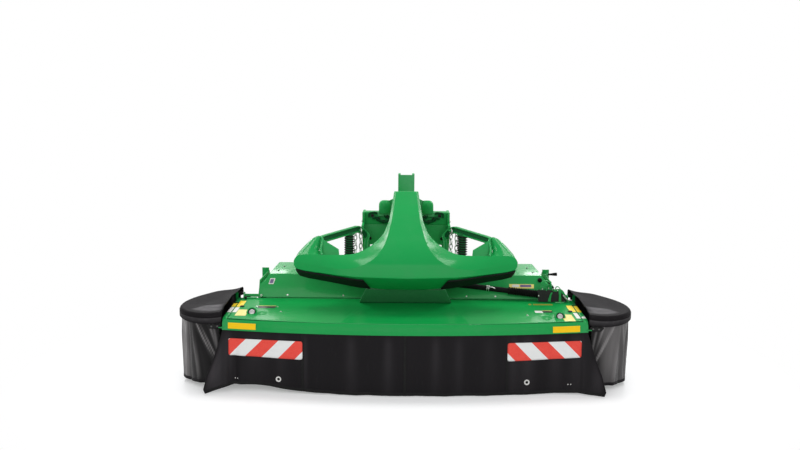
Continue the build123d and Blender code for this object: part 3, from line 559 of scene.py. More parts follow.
class Grower(Graph):
    # a geometry tree with named sizes and a finish
    def __init__(self, name, sizes):
        super().__init__(bpy.data.node_groups.new(name, "GeometryNodeTree"))
        face = self.tree.interface
        face.new_socket(name="Geometry", in_out="INPUT", socket_type="NodeSocketGeometry")
        for label, value in sizes.items():
            kind = "NodeSocketInt" if isinstance(value, int) else "NodeSocketFloat"
            face.new_socket(name=label, in_out="INPUT", socket_type=kind).default_value = value
        face.new_socket(name="Finish", in_out="INPUT", socket_type="NodeSocketMaterial")
        face.new_socket(name="Geometry", in_out="OUTPUT", socket_type="NodeSocketGeometry")
        self.given = self.tree.nodes.new("NodeGroupInput")

    def size(self, label):
        return Wire(self, self.given.outputs[label])

    def done(self, geometry):
        real = self.add("GeometryNodeRealizeInstances", inputs={"Geometry": geometry})
        painted = self.add("GeometryNodeSetMaterial",
                           inputs={"Geometry": real, "Material": self.size("Finish")})
        end = self.tree.nodes.new("NodeGroupOutput")
        self.tree.links.new(painted.socket, end.inputs["Geometry"])
        return self


def studGrower():
    # a head on a washer at every point, facing along the point's own direction
    g = Grower("studHeads", {"Head radius": 0.008, "Head height": 0.006, "Washer radius": 0.012, "Sides": 6})
    head = g.add("GeometryNodeMeshCylinder", inputs={
        "Vertices": g.size("Sides"), "Radius": g.size("Head radius"), "Depth": g.size("Head height")})
    washer = g.add("GeometryNodeMeshCylinder", inputs={
        "Vertices": 18, "Radius": g.size("Washer radius"), "Depth": g.size("Head height") * 0.35})
    lift = g.add("ShaderNodeCombineXYZ", inputs={"Z": g.size("Head height") * 0.5})
    both = g.add("GeometryNodeJoinGeometry", inputs={0: [
        g.add("GeometryNodeTransform", inputs={"Geometry": head, "Translation": lift}), washer]})
    facing = g.add("GeometryNodeInputNamedAttribute", {"data_type": "FLOAT_VECTOR"}, {"Name": "facing"})
    turn = g.add("FunctionNodeAlignRotationToVector", {"axis": "Z"}, {"Vector": facing})
    spread = g.add("GeometryNodeInstanceOnPoints", inputs={
        "Points": g.size("Geometry"), "Instance": both, "Rotation": turn})
    return g.done(spread)


def linkGrower():
    # a standing chain: every other link is turned a quarter
    g = Grower("chainLinks", {"Links": 7, "Pitch": 0.034, "Half width": 0.012, "Wire": 0.0045})
    line = g.add("GeometryNodeMeshLine", {"mode": "OFFSET"}, {
        "Count": g.size("Links"),
        "Offset": g.add("ShaderNodeCombineXYZ", inputs={"Z": g.size("Pitch")})})
    loop = g.add("GeometryNodeCurvePrimitiveCircle", inputs={"Resolution": 16, "Radius": 1.0})
    stretch = g.add("ShaderNodeCombineXYZ", inputs={
        "X": g.size("Half width"), "Y": g.size("Pitch") * 0.5 + g.size("Wire") * 1.0, "Z": 1.0})
    upright = g.add("GeometryNodeTransform", inputs={"Geometry": loop, "Scale": stretch})
    upright = g.add("GeometryNodeTransform", inputs={"Geometry": upright, "Rotation": (math.pi / 2, 0, 0)})
    rim = g.add("GeometryNodeCurvePrimitiveCircle", inputs={"Resolution": 7, "Radius": g.size("Wire")})
    link = g.add("GeometryNodeCurveToMesh", inputs={"Curve": upright, "Profile Curve": rim})
    index = g.add("GeometryNodeInputIndex")
    turn = g.add("ShaderNodeCombineXYZ", inputs={"Z": (index % 2.0) * (math.pi / 2) + 0.5})
    chain = g.add("GeometryNodeInstanceOnPoints", inputs={"Points": line, "Instance": link, "Rotation": turn})
    placed = g.add("GeometryNodeInstanceOnPoints", inputs={"Points": g.size("Geometry"), "Instance": chain})
    return g.done(placed)


def coilGrower():
    # a coil spring standing at every point
    g = Grower("coilSprings", {"Turns": 8.0, "Coil radius": 0.036, "Height": 0.2, "Wire": 0.0055})
    helix = g.add("GeometryNodeCurveSpiral", inputs={
        "Resolution": 22, "Rotations": g.size("Turns"), "Start Radius": g.size("Coil radius"),
        "End Radius": g.size("Coil radius"), "Height": g.size("Height")})
    rim = g.add("GeometryNodeCurvePrimitiveCircle", inputs={"Resolution": 9, "Radius": g.size("Wire")})
    coil = g.add("GeometryNodeCurveToMesh", inputs={"Curve": helix, "Profile Curve": rim, "Fill Caps": True})
    placed = g.add("GeometryNodeInstanceOnPoints", inputs={"Points": g.size("Geometry"), "Instance": coil})
    return g.done(placed)


def stitchGrower():
    # short raised stitches along an edge line
    g = Grower("seamStitches", {"Spacing": 0.011, "Length": 0.007, "Thread": 0.0011})
    line = g.add("GeometryNodeMeshToCurve", inputs={"Mesh": g.size("Geometry")})
    even = g.add("GeometryNodeResampleCurve", {"mode": "LENGTH"},
                 {"Curve": line, "Length": g.size("Spacing")})
    stitch = g.add("GeometryNodeMeshCube", inputs={"Size": g.add("ShaderNodeCombineXYZ", inputs={
        "X": g.size("Thread"), "Y": g.size("Thread"), "Z": g.size("Length")}), "Vertices X": 2})
    tangent = g.add("GeometryNodeInputTangent")
    turn = g.add("FunctionNodeAlignRotationToVector", {"axis": "Z"}, {"Vector": tangent})
    spread = g.add("GeometryNodeInstanceOnPoints", inputs={"Points": even, "Instance": stitch,
                                                           "Rotation": turn})
    return g.done(spread)


def bellowsGrower():
    # a ribbed boot along a line
    g = Grower("bellowsRibs", {"Ribs": 12, "Radius": 0.026, "Rib depth": 0.010})
    line = g.add("GeometryNodeMeshToCurve", inputs={"Mesh": g.size("Geometry")})
    even = g.add("GeometryNodeResampleCurve", inputs={"Curve": line, "Count": g.size("Ribs") * 4 + 1})
    wave = (g.add("GeometryNodeInputIndex") * (math.pi / 2)).sine() * 0.5 + 0.5
    rim = g.add("GeometryNodeCurvePrimitiveCircle", inputs={"Resolution": 24, "Radius": 1.0})
    boot = g.add("GeometryNodeCurveToMesh", inputs={
        "Curve": even, "Profile Curve": rim, "Scale": g.size("Radius") + g.size("Rib depth") * wave,
        "Fill Caps": True})
    return g.done(boot)


growers = {"studs": studGrower(), "links": linkGrower(), "coils": coilGrower(), "stitches": stitchGrower(),
           "bellows": bellowsGrower()}


def grown(name, grower, points, body, finish, slotName=None, edges=(), facing=None, smooth=40.0, **sizes):
    # runs a geometry tree over some points or edges, and keeps the result as a plain mesh
    seed = bpy.data.meshes.new(name + "_seed")
    seed.from_pydata([tuple(p) for p in points], list(edges), [])
    if facing:
        layer = seed.attributes.new("facing", "FLOAT_VECTOR", "POINT")
        for i, direction in enumerate(facing):
            layer.data[i].vector = direction
    holder = bpy.data.objects.new(name + "_seed", seed)
    scene.collection.objects.link(holder)
    tree = growers[grower].tree
    run = holder.modifiers.new("grow", "NODES")
    run.node_group = tree
    ids = {s.name: s.identifier for s in tree.interface.items_tree if s.in_out == "INPUT"}
    for label, value in sizes.items():
        run[ids[label.replace("_", " ")]] = value
    run[ids["Finish"]] = finishes[finish]
    holder.update_tag()
    bpy.context.view_layer.update()
    result = bpy.data.meshes.new_from_object(holder.evaluated_get(bpy.context.evaluated_depsgraph_get()))
    holder.modifiers.clear()
    bpy.data.objects.remove(holder)
    result.name = name
    bm = bmesh.new()
    bm.from_mesh(result)
    bmesh.ops.remove_doubles(bm, verts=bm.verts, dist=1e-5)
    bm.to_mesh(result)
    bm.free()
    piece = bpy.data.objects.new(name, result)
    scene.collection.objects.link(piece)
    return seated(piece, body, finish, smooth)

# ---- camera, floor and light

view = {"stand": at(0, -6.73, 2.115), "down": 6.5, "roll": 0.45, "lens": 40.05, "shift": -0.0075}
cameraData = bpy.data.cameras.new("camera")
cameraData.lens = view["lens"]
cameraData.sensor_width = 36.0
cameraData.shift_x = view["shift"]
camera = bpy.data.objects.new("camera", cameraData)
scene.collection.objects.link(camera)
camera.matrix_world = Matrix.Translation(view["stand"]) @ (
    Matrix.Rotation(math.radians(90 - view["down"]), 4, "X") @ Matrix.Rotation(math.radians(view["roll"]),
            4, "Z"))
scene.camera = camera

studio = {"floorHalf": 40.0, "floorColour": 0.80, "floorLift": 0.30, "fill": 0.53, "near": 2.0, "far": 3.3}


def cameraSees(m):
    # 1 for rays from the camera, a mirror or glass
    path = m.add("ShaderNodeLightPath", output="Is Camera Ray")
    outputs = path.socket.node.outputs
    return (path + Wire(m, outputs["Is Glossy Ray"]) + Wire(m, outputs["Is Transmission Ray"])).clamped()


def makeFloor():
    half = studio["floorHalf"]
    mesh = bpy.data.meshes.new("studioFloor")
    mesh.from_pydata([(-half, -half, 0), (half, -half, 0), (half, half, 0), (-half, half, 0)], [],
                     [(0, 1, 2, 3)])
    floor = bpy.data.objects.new("studioFloor", mesh)
    scene.collection.objects.link(floor)
    m = Finish("studioFloor")
    pale = tone(*[studio["floorColour"]] * 3)
    matt = m.add("ShaderNodeBsdfDiffuse", inputs={"Color": pale})
    glow = m.add("ShaderNodeEmission", inputs={"Color": tone(1, 1, 1), "Strength": studio["floorLift"]})
    near = m.add("ShaderNodeAddShader", inputs={0: matt, 1: glow})
    white = m.add("ShaderNodeEmission", inputs={"Color": tone(1, 1, 1), "Strength": 1.0})
    reach = m.add("ShaderNodeVectorMath", {"operation": "LENGTH"}, {0: m.place}, output="Value")
    away = ((reach - studio["near"]) / (studio["far"] - studio["near"])).clamped()
    lifted = m.add("ShaderNodeMixShader", inputs={0: away, 1: near, 2: white})
    mix = m.add("ShaderNodeMixShader", inputs={0: cameraSees(m), 1: matt, 2: lifted})
    m.add("ShaderNodeOutputMaterial", inputs={"Surface": mix})
    mesh.materials.append(m.material)


def makeSky():
    world = bpy.data.worlds.new("studioSky")
    scene.world = world
    world.use_nodes = True
    m = Graph(world.node_tree)
    m.tree.nodes.clear()
    soft = m.add("ShaderNodeBackground", inputs={"Color": tone(0.97, 0.98, 1.0), "Strength": studio["fill"]})
    white = m.add("ShaderNodeBackground", inputs={"Color": tone(1, 1, 1), "Strength": 1.0})
    mix = m.add("ShaderNodeMixShader", inputs={0: cameraSees(m), 1: soft, 2: white})
    m.add("ShaderNodeOutputWorld", inputs={"Surface": mix})


lamps = [      # name, place (x, depth, height), aimed at, width, height, power
    ("frontWide", (0.0, -7.6, 4.4), (0.0, 0.3, 0.5), 11.0, 4.6, 300),
    ("topLeft", (-2.7, 1.9, 5.4), (-0.5, 0.5, 0.8), 1.6, 1.6, 78),
    ("topRight", (2.7, 1.9, 5.4), (0.5, 0.5, 0.8), 1.6, 1.6, 78),
    ("backLeft", (-2.9, 4.2, 3.7), (-0.1, 0.4, 1.0), 0.9, 1.6, 62),
    ("backRight", (2.9, 4.2, 3.7), (0.1, 0.4, 1.0), 0.9, 1.6, 62),
    ("roofLeft", (-1.73, 4.0, 1.98), (-1.12, 0.05, 0.81), 0.26, 0.40, 4.0),
    ("roofRight", (1.73, 4.0, 1.98), (1.12, 0.05, 0.81), 0.26, 0.40, 4.6),
]


def makeLamps():
    for name, place, target, width, height, power in lamps:
        data = bpy.data.lights.new(name, "AREA")
        data.shape = "RECTANGLE"
        data.size = width
        data.size_y = height
        data.energy = power
        lamp = bpy.data.objects.new(name, data)
        scene.collection.objects.link(lamp)
        lamp.location = at(*place)
        lamp.rotation_euler = (at(*target) - lamp.location).to_track_quat("-Z", "Y").to_euler()


makeFloor()
makeSky()
makeLamps()
print("stage set")

# ---- CAD nodes that keep their shape

plainNodes = {      # node: finish, edge width, slot
    "cutter_bar": ("barSteel", 0.002, "bar_steel"),
    "skid_shoes": ("barSteel", 0.002, "bar_steel"),
    "main_frame": ("greenPaint", 0.002, "green_paint"),
    "front_rail": ("greenPaint", 0.004, "green_paint"),
    "frame_cheek_left": ("greenPaint", 0.0015, "green_paint"),
    "frame_cheek_right": ("greenPaint", 0.0015, "green_paint"),
    "side_plate_left": ("greenPaint", 0.0015, "green_paint"),
    "side_plate_right": ("greenPaint", 0.0015, "green_paint"),
    "conditioner_comb": ("blackPaint", 0.001, "rotor_paint"),
    "conditioner_rotor": ("blackPaint", 0.002, "rotor_paint"),
    "conditioner_hood": ("greenGloss", 0.003, "green_paint"),
    "swath_door_left": ("greenPaint", 0.001, "green_paint"),
    "swath_door_right": ("greenPaint", 0.001, "green_paint"),
    "parking_stand_left": ("greenPaint", 0.002, "green_paint"),
    "parking_stand_right": ("greenPaint", 0.002, "green_paint"),
    "front_flap": ("greenPaint", 0.0012, "green_paint"),
    "gearbox": ("gearboxIron", 0.005, "gearbox_iron"),
    # the side box, pedestal and struts take the darker green copies, as painted shade
    "side_drive_box": ("greenShade", 0.003, "gearbox_iron"),
    "disc_drive": ("gearboxIron", 0.004, "gearbox_iron"),
    "cross_drive": ("guardPlastic", 0.002, "guard_plastic"),
    "pedestal": ("greenDeep", 0.004, "green_paint"),
    "crossbar": ("greenPaint", 0.004, "green_paint"),
    "spine": ("greenPaint", 0.004, "green_paint"),
    "headstock_beam": ("greenPaint", 0.003, "green_paint"),
    "headstock_cheek_left": ("greenPaint", 0.003, "green_paint"),
    "headstock_cheek_right": ("greenPaint", 0.003, "green_paint"),
    "suspension_strut_left": ("greenDeep", 0.002, "green_paint"),
    "suspension_strut_right": ("greenDeep", 0.002, "green_paint"),
}
for number in range(1, 8):
    plainNodes[f"disc_{number}"] = ("discSteel", 0.001, "disc_steel")
for node, (finish, width, slotName) in plainNodes.items():
    softened(node, finish, width)


def easedJournals(piece, beyond, share):
    # a rotor's two journals turned down a little, so their facets clear the bearings at every turn
    journal = [v for v in piece.data.vertices if abs(v.co.x) > beyond]
    middle = [(min(v.co[k] for v in journal) + max(v.co[k] for v in journal)) / 2 for k in range(3)]
    for v in journal:
        v.co = (v.co.x, middle[1] + (v.co.y - middle[1]) * share, middle[2] + (v.co.z - middle[2]) * share)


easedJournals(bpy.data.objects["conditioner_rotor_finished"], 1.2515, 0.985)
print("CAD nodes finished:", len(plainNodes))

# ---- linkage cover: an anchor-shaped shell whose front flows from the column into both arms

coverProfile = [      # centre line of the front: (height, depth)
    (0.845, 0.349), (0.872, 0.350), (0.920, 0.359), (0.968, 0.371), (1.010, 0.391), (1.053, 0.421),
    (1.095, 0.466), (1.135, 0.522), (1.180, 0.598), (1.235, 0.690), (1.290, 0.782), (1.352, 0.886),
    (1.430, 1.024), (1.500, 1.150), (1.530, 1.204)]
# half-width and height of the front's centre or lower line, of the face's edge and of the bevel's outer
# edge, how far that edge lies behind the face, the rear upper line and the rear lower line
coverRows = [
    ((0, 1.512), (0.0900, 1.512), (0.1090, 1.508), 0.040, (0.108, 1.400, 1.500), (0, 1.400, 1.500)),
    ((0, 1.400), (0.1060, 1.400), (0.1260, 1.398), 0.055, (0.125, 1.215, 1.388), (0, 1.215, 1.388)),
    ((0, 1.290), (0.1230, 1.290), (0.1450, 1.290), 0.066, (0.144, 1.040, 1.276), (0, 1.040, 1.276)),
    ((0, 1.190), (0.1500, 1.189), (0.1880, 1.196), 0.080, (0.184, 0.890, 1.176), (0, 0.890, 1.176)),
    ((0, 1.110), (0.1730, 1.132), (0.2330, 1.149), 0.096, (0.228, 0.810, 1.122), (0, 0.810, 1.100)),
    ((0, 1.040), (0.2050, 1.082), (0.2910, 1.104), 0.108, (0.286, 0.765, 1.068), (0, 0.760, 1.030)),
    ((0, 0.960), (0.2480, 1.034), (0.3600, 1.066), 0.112, (0.356, 0.735, 1.034), (0, 0.700, 0.920)),
    ((0, 0.872), (0.3120, 0.990), (0.4420, 1.041), 0.098, (0.440, 0.724, 1.012), (0, 0.545, 0.745)),
    ((0.20, 0), (0.3950, 0.954), (0.5250, 1.036), 0.074, (0.520, 0.723, 1.008), (0.20, 0.547, 0.748)),
    ((0.40, 0), (0.5150, 0.936), (0.6150, 1.036), 0.044, (0.600, 0.725, 1.008), (0.40, 0.559, 0.770)),
    ((0.56, 0), (0.6450, 0.944), (0.7100, 1.036), 0.020, (0.676, 0.728, 1.020), (0.56, 0.582, 0.797)),
    ((0.70, 0), (0.7600, 0.958), (0.8100, 1.036), 0.010, (0.716, 0.722, 1.158), (0.70, 0.608, 0.818)),
    ((0.815, 0), (0.8420, 0.968), (0.8800, 1.027), 0.006, (0.772, 0.722, 1.156), (0.815, 0.630, 0.834)),
    ((0.886, 0), (0.8960, 0.968), (0.9140, 1.006), 0.004, (0.836, 0.704, 1.104), (0.886, 0.640, 0.852)),
    ((0.9235, 0), (0.9240, 0.964), (0.9280, 0.978), 0.003, (0.905, 0.680, 1.030), (0.9235, 0.650, 0.905)),
]
coverLower = [(0, 0.872), (0.29, 0.876), (0.40, 0.877), (0.54, 0.886), (0.70, 0.899), (0.83, 0.909),
              (0.892, 0.920),
              (0.915, 0.935), (0.930, 0.955)]      # half-width and height of the face's lower edge
cover = {"bow": 0.2, "fine": 6, "face": 12, "bevel": 4, "wall": 5, "rear": 4, "belly": 4, "seam": 7}


def smoothed(rows, times):
    return [tuple(onCurve(rows, i / times)) for i in range((len(rows) - 1) * times + 1)]


coverFine = smoothed(coverProfile, 6)


def coverFace(x, height, behind=0.0):
    return at(x, onTable(coverFine, height) + cover["bow"] * x * x + behind, height)


def coverRow(place):
    # one line round the right half of the shell, from its front round to its belly
    k = min(len(coverRows) - 2, int(place))
    share = place - k
    column = [list(r[0]) for r in coverRows]
    if k < cover["seam"]:
        inner = (0.0, blendOf(column[k][1], column[k + 1][1], share))
    else:
        x = max(0.0, blendOf(column[k][0], column[k + 1][0], share))
        inner = (x, onTable(coverLower, x))
    face, outer, wall = (onCurve([r[n] for r in coverRows], place) for n in (1, 2, 4))
    behind = onCurve([(r[3],) for r in coverRows], place)[0]
    lower = [blendOf(a, b, share) for a, b in zip(coverRows[k][5], coverRows[k + 1][5])]
    row = [coverFace(blendOf(inner[0], face[0], j / cover["face"]),
                     blendOf(inner[1], face[1], j / cover["face"]))
           for j in range(cover["face"] + 1)]
    for j in range(1, cover["bevel"] + 1):
        s = j / cover["bevel"]
        row.append(coverFace(blendOf(face[0], outer[0], s), blendOf(face[1], outer[1], s), behind * s))
    rim, back, low = row[-1], at(*wall), at(*lower)
    row += [rim.lerp(back, j / cover["wall"]) for j in range(1, cover["wall"] + 1)]
    row += [back.lerp(low, j / cover["rear"]) for j in range(1, cover["rear"] + 1)]
    row += [low.lerp(row[0], j / (cover["belly"] + 1)) if k >= cover["seam"] else low
            for j in range(1, cover["belly"] + 1)]
    return row


def makeCover():
    stations = (len(coverRows) - 1) * cover["fine"] + 1
    rows = [coverRow(i / cover["fine"]) for i in range(stations)]
    width = len(rows[0])
    points = [p for row in rows for p in row]
    faces = []
    for i in range(stations - 1):
        below = i >= cover["seam"] * cover["fine"]
        for j in range(width if below else width - 1 - cover["belly"]):
            a, b = i * width + j, i * width + (j + 1) % width
            faces.append((a, b, b + width, a + width))
    last = (stations - 1) * width
    faces.append(tuple(range(width - cover["belly"])))
    faces.append(tuple(range(last, last + width)))
    count = len(points)
    points += [Vector((-p.x, p.y, p.z)) for p in points]
    faces += [tuple(count + i for i in face) for face in faces]
    shell = newPiece("linkage_cover_shell", points, faces, "mower", "greenCover", "green_paint", smooth=14.0)
    edge = shell.modifiers.new("edges", "BEVEL")
    edge.width = 0.004
    edge.segments = 3
    edge.limit_method = "ANGLE"
    edge.angle_limit = math.radians(30)
    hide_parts("linkage_cover")


def bellyPoint(x, share, proud):
    # a point of the arm's underside, from the face's lower edge (0) to the rear lower line (1)
    lows = [(r[5][0], r[5]) for r in coverRows[cover["seam"]:]]
    edge = coverFace(x, onTable(coverLower, x))
    depth = onTable([(a, b[1]) for a, b in lows], x)
    height = onTable([(a, b[2]) for a, b in lows], x)
    rear = at(x, depth, height)
    down = (rear - edge).cross(Vector((1, 0, 0))).normalized()
    if down.z > 0:
        down.negate()
    return edge.lerp(rear, share) + down * proud


coverTrim = {"inner": 0.345, "slant": 0.055, "outer": 0.905, "proud": 0.0045, "wall": 0.009, "steps": 26}


def makeTrims():
    # dark wear strips under both arms
    for sideName, side in bothSides:
        points, columns = [], 7
        for i in range(coverTrim["steps"] + 1):
            for j in range(columns):
                share = j / (columns - 1)
                inner = coverTrim["inner"] - coverTrim["slant"] * share
                x = blendOf(inner, coverTrim["outer"], i / coverTrim["steps"])
                start = 0.03 + 0.15 * easeOf(x, 0.80, 0.35)
                p = bellyPoint(x, blendOf(start, 0.985, share), coverTrim["proud"])
                points.append(Vector((side * p.x, p.y, p.z)))
        strip = newPiece(f"cover_strip_{sideName}", points, gridFaces(coverTrim["steps"] + 1, columns),
                         "mower",
                         "trimRubber", "trim_rubber", wall=coverTrim["wall"], bevel=0.003)
        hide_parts(f"cover_trim_{sideName}")


armEnd = {      # right-hand points, mirrored for the left: (x, depth, height)
    "gusset": [(0.716, 0.700, 1.150), (0.655, 0.640, 1.122), (0.600, 0.612, 1.095), (0.558, 0.596, 1.072),
               (0.552, 0.590, 1.020), (0.716, 0.590, 1.010)],
    "fold": [(0.716, 0.716, 1.160), (0.700, 0.690, 1.142), (0.703, 0.655, 1.112), (0.706, 0.612, 1.080),
             (0.700, 0.565, 1.052), (0.690, 0.530, 1.038)],
    "foldWidth": 0.020, "plate": 0.006}


def makeArmEnds():
    # the pocket that each side rail leaves from: a web plate and a rolled rim
    for sideName, side in bothSides:
        outline = [at(side * x, d, z) for x, d, z in armEnd["gusset"]]
        points, faces = plateMesh(outline, Vector((0, armEnd["plate"], 0.002)))
        newPiece(f"cover_web_{sideName}", points, faces, "mower", "greenCover", "green_paint", bevel=0.0015)
        line = [at(side * x, d, z) for x, d, z in smoothed(armEnd["fold"], 5)]
        points, faces = sweptMesh(alongPath(line, Vector((side, 0, 0.4))),
                                  ringSection(armEnd["foldWidth"] / 2, 12))
        newPiece(f"cover_rim_{sideName}", points, faces, "mower", "greenCover", "green_paint")


makeCover()
makeTrims()
makeArmEnds()
print("linkage cover made")

# ---- bowed front: deck, lip, marks

front = {"half": 1.448, "bow": 0.160, "deckHeight": 0.567, "deckSlope": 0.04825,
         "lipSlope": 0.026}
front["radius"] = (front["half"] ** 2 + front["bow"] ** 2) / (2 * front["bow"])


def bowAt(x):
    # how far the bowed front lies behind its foremost point
    return front["radius"] - math.sqrt(front["radius"] ** 2 - x * x)


def deckAt(x, depth, above=0.0):
    return at(x, depth, front["deckHeight"] + front["deckSlope"] * (depth - front["lipSlope"]) + above)


deck = {"innerHalf": 1.408, "outerHalf": 1.446, "edge": 0.036, "step": 0.706, "rear": 0.855,
        "opening": 0.25, "openingFront": 0.725, "skin": 0.004, "stepX": 0.0095, "stepDepth": 0.0150,
        "creases": [(-0.382, 0.543, -0.519, 0.03), (0.374, 0.680, 0.511, 0.03)],
        "creaseHeight": 0.0016, "creaseWidth": 0.010,
        "dents": [(-1.160, 0.352, 0.030, 0.055), (1.130, 0.280, 0.030, 0.055)], "dentDepth": 0.006}


def deckRelief(x, depth):
    rise = 0.0
    for x0, d0, x1, d1 in deck["creases"]:
        share = (depth - d0) / (d1 - d0)
        if -0.02 < share < 1.02:
            rise += deck["creaseHeight"] * hump(x, blendOf(x0, x1, share), deck["creaseWidth"]) * easeOf(
                min(share, 1 - share), -0.02, 0.15)
    for x0, d0, rx, rd in deck["dents"]:
        rise -= deck["dentDepth"] * math.exp(-(((x - x0) / rx) ** 2 + ((depth - d0) / rd) ** 2) ** 2)
    rise += 0.0012 * math.sin(x * 3.1 + 0.6) * hump(depth, 0.36, 0.25)      # sheet steel is never quite flat
    return rise


def deckPatch(xs, frontAt, rear):
    rows = max(2, int((rear - frontAt(0)) / deck["stepDepth"]))
    points = []
    for x in xs:
        start = frontAt(x)
        for j in range(rows + 1):
            depth = blendOf(start, rear, j / rows)
            points.append(deckAt(x, depth, deckRelief(x, depth)))
    return points, gridFaces(len(xs), rows + 1)


def spacedOut(low, high, step):
    count = max(1, round((high - low) / step))
    return [blendOf(low, high, i / count) for i in range(count + 1)]


def makeDeck():
    xs = spacedOut(-deck["innerHalf"], -deck["opening"], deck["stepX"])
    xs += spacedOut(-deck["opening"], deck["opening"], deck["stepX"])[1:]
    xs += spacedOut(deck["opening"], deck["innerHalf"], deck["stepX"])[1:]
    patches = [deckPatch(xs, lambda x: deck["edge"] + bowAt(x), deck["step"])]
    side = [x for x in xs if x <= -deck["opening"] + 1e-6]
    for some in ([-deck["outerHalf"], -1.427] + side,
                 [-x for x in reversed([-deck["outerHalf"], -1.427] + side)]):
        patches.append(deckPatch(some, lambda x: deck["step"], deck["rear"]))
    middle = [x for x in xs if abs(x) <= deck["opening"] + 1e-6]
    patches.append(deckPatch(middle, lambda x: deck["step"], deck["openingFront"]))
    points, faces = joined(*patches)
    plate = newPiece("deck_plate", points, faces, "mower", "greenPaint", "green_paint", smooth=30.0)
    wall = plate.modifiers.new("wall", "SOLIDIFY")
    wall.thickness = deck["skin"]
    wall.offset = -1.0
    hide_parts("top_deck")


marks = [      # name, body, finish, x and depth of the middle, width, length, height above the deck
    ("mark_left_a", "mower", "yellowMark", -1.380, 0.640, 0.050, 0.200, 0.0004),
    ("mark_left_b", "front_flap", "yellowMark", -1.4305, 0.598, 0.031, 0.115, 0.0004),
    ("mark_left_c", "mower", "whiteMark", -1.388, 0.440, 0.034, 0.160, 0.0004),
    ("mark_left_d", "front_flap", "whiteMark", -1.4305, 0.440, 0.031, 0.160, 0.0004),
    ("mark_left_e", "mower", "creamMark", -1.322, 0.352, 0.088, 0.190, 0.0006),
    ("mark_left_f", "mower", "darkMark", -1.150, 0.535, 0.145, 0.062, 0.0004),
    ("mark_left_g", "mower", "creamMark", -1.150, 0.575, 0.145, 0.010, 0.0006),
    ("mark_right_a", "mower", "yellowMark", 1.380, 0.560, 0.050, 0.205, 0.0004),
    ("mark_right_b", "front_flap", "yellowMark", 1.4305, 0.548, 0.031, 0.200, 0.0004),
    ("mark_right_c", "mower", "whiteMark", 1.388, 0.340, 0.034, 0.170, 0.0004),
    ("mark_right_d", "front_flap", "whiteMark", 1.4305, 0.340, 0.031, 0.170, 0.0004),
    ("mark_right_e", "mower", "creamMark", 1.305, 0.272, 0.088, 0.200, 0.0006),
    ("mark_right_f", "mower", "whiteMark", 1.095, 0.452, 0.062, 0.066, 0.0004),
    ("mark_right_g", "mower", "darkMark", 1.168, 0.458, 0.080, 0.050, 0.0004),
    ("mark_right_h", "mower", "creamMark", 1.168, 0.490, 0.080, 0.009, 0.0006),
    ("mark_right_i", "mower", "goldMark", 1.165, 0.690, 0.165, 0.040, 0.0004),
    ("mark_right_j", "mower", "goldMark", 1.055, 0.690, 0.024, 0.040, 0.0004),
]


def makeMarks():
    # plain printed patches on the deck, without any sign or letter
    for name, body, finish, x, depth, width, length, above in marks:
        points = []
        for u, v in roundedBox(width, length, min(0.006, length * 0.3), 4):
            points.append(deckAt(x + u, depth + v, deckRelief(x + u, depth + v) + above))
        newPiece(name, *plateMesh(points, Vector((0, 0, 0.0006))), body, finish)


latch = {"x": 1.240, "depth": 0.335, "rise": 0.010,
         "housing": [(-0.046, 0.040), (-0.010, 0.0440), (0.000, 0.0435), (0.005, 0.0410), (0.0065, 0.0370),
                     (0.0060, 0.0325), (-0.010, 0.0315)],
         "seal": [(-0.010, 0.0312), (0.003, 0.0312), (0.005, 0.0300), (0.004, 0.0262), (-0.004, 0.0248)],
         "dome": [(-0.020, 0.0001), (-0.020, 0.0240), (0.002, 0.0240), (0.0065, 0.0222), (0.0095, 0.0180),
                  (0.0108, 0.0110), (0.0110, 0.0001)],
         "bar": (0.009, 0.032, 0.005)}


def makeLatches():
    # plated quarter-turn latches in raised housings that lean towards the front
    lean = Vector((0, -0.80, 0.60)).normalized()
    domes, housings, seals, bars = [], [], [], []
    for side in (-1, 1):
        base = deckAt(side * latch["x"], latch["depth"] - (0.065 if side > 0 else 0), latch["rise"])
        domes.append(turnedMesh(base, lean, latch["dome"], 36))
        housings.append(turnedMesh(base, lean, latch["housing"], 40))
        seals.append(turnedMesh(base, lean, latch["seal"], 40))
        wide, long, high = latch["bar"]
        tilt = (Vector((1, 0, 0)) * side * 0.35 + lean.cross(Vector((1, 0, 0)))).normalized()
        stations = [(base + lean * 0.0100 + tilt * s * long / 2, tilt.cross(lean).normalized(), lean)
                    for s in (-1, 1)]
        bars.append(sweptMesh(stations, roundedBox(wide, high * 2, 0.0015, 3)))
    dome = newPiece("latch_domes", *joined(*domes), "mower", "latchSteel", "latch_steel")
    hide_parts("deck_latches")
    newPiece("latch_housings", *joined(*housings), "mower", "greenPaint", "green_paint")
    newPiece("latch_seals", *joined(*seals), "mower", "trimRubber")
    newPiece("latch_bars", *joined(*bars), "mower", "latchSteel")


def lipAt(x, height, ahead=0.0):
    # the lip's lower facet
    return at(x, bowAt(x) + 0.008 * (height - 0.486) / 0.056 - ahead, height)


reflectors = {"left": (-1.398, -1.172, 0.4990, 0.546), "right": (1.158, 1.378, 0.4940, 0.542)}


def makeReflectors():
    # long amber reflectors near the lip's ends, in thin frames
    for name, (x0, x1, z0, z1) in reflectors.items():
        rows = []
        for i in range(25):
            x = blendOf(x0, x1, i / 24)
            for z in (z0, z0 + 0.002, z1 - 0.002, z1):
                edge = z in (z0, z1)
                rows.append(lipAt(x, z, 0.0012 if edge else 0.0036))
        points, faces = rows, gridFaces(25, 4)
        back = [lipAt(blendOf(x0, x1, i / 24), z, 0.0004) for i in range(25) for z in (z0, z1)]
        base = len(points)
        points = points + back
        for i in range(24):
            faces.append((i * 4, (i + 1) * 4, base + (i + 1) * 2, base + i * 2))
            faces.append((i * 4 + 3, base + i * 2 + 1, base + i * 2 + 3, (i + 1) * 4 + 3))
        newPiece(f"lip_reflector_{name}", points, faces, "front_flap", "reflector")


makeDeck()
makeMarks()
makeLatches()
makeReflectors()
print("deck and lip made")

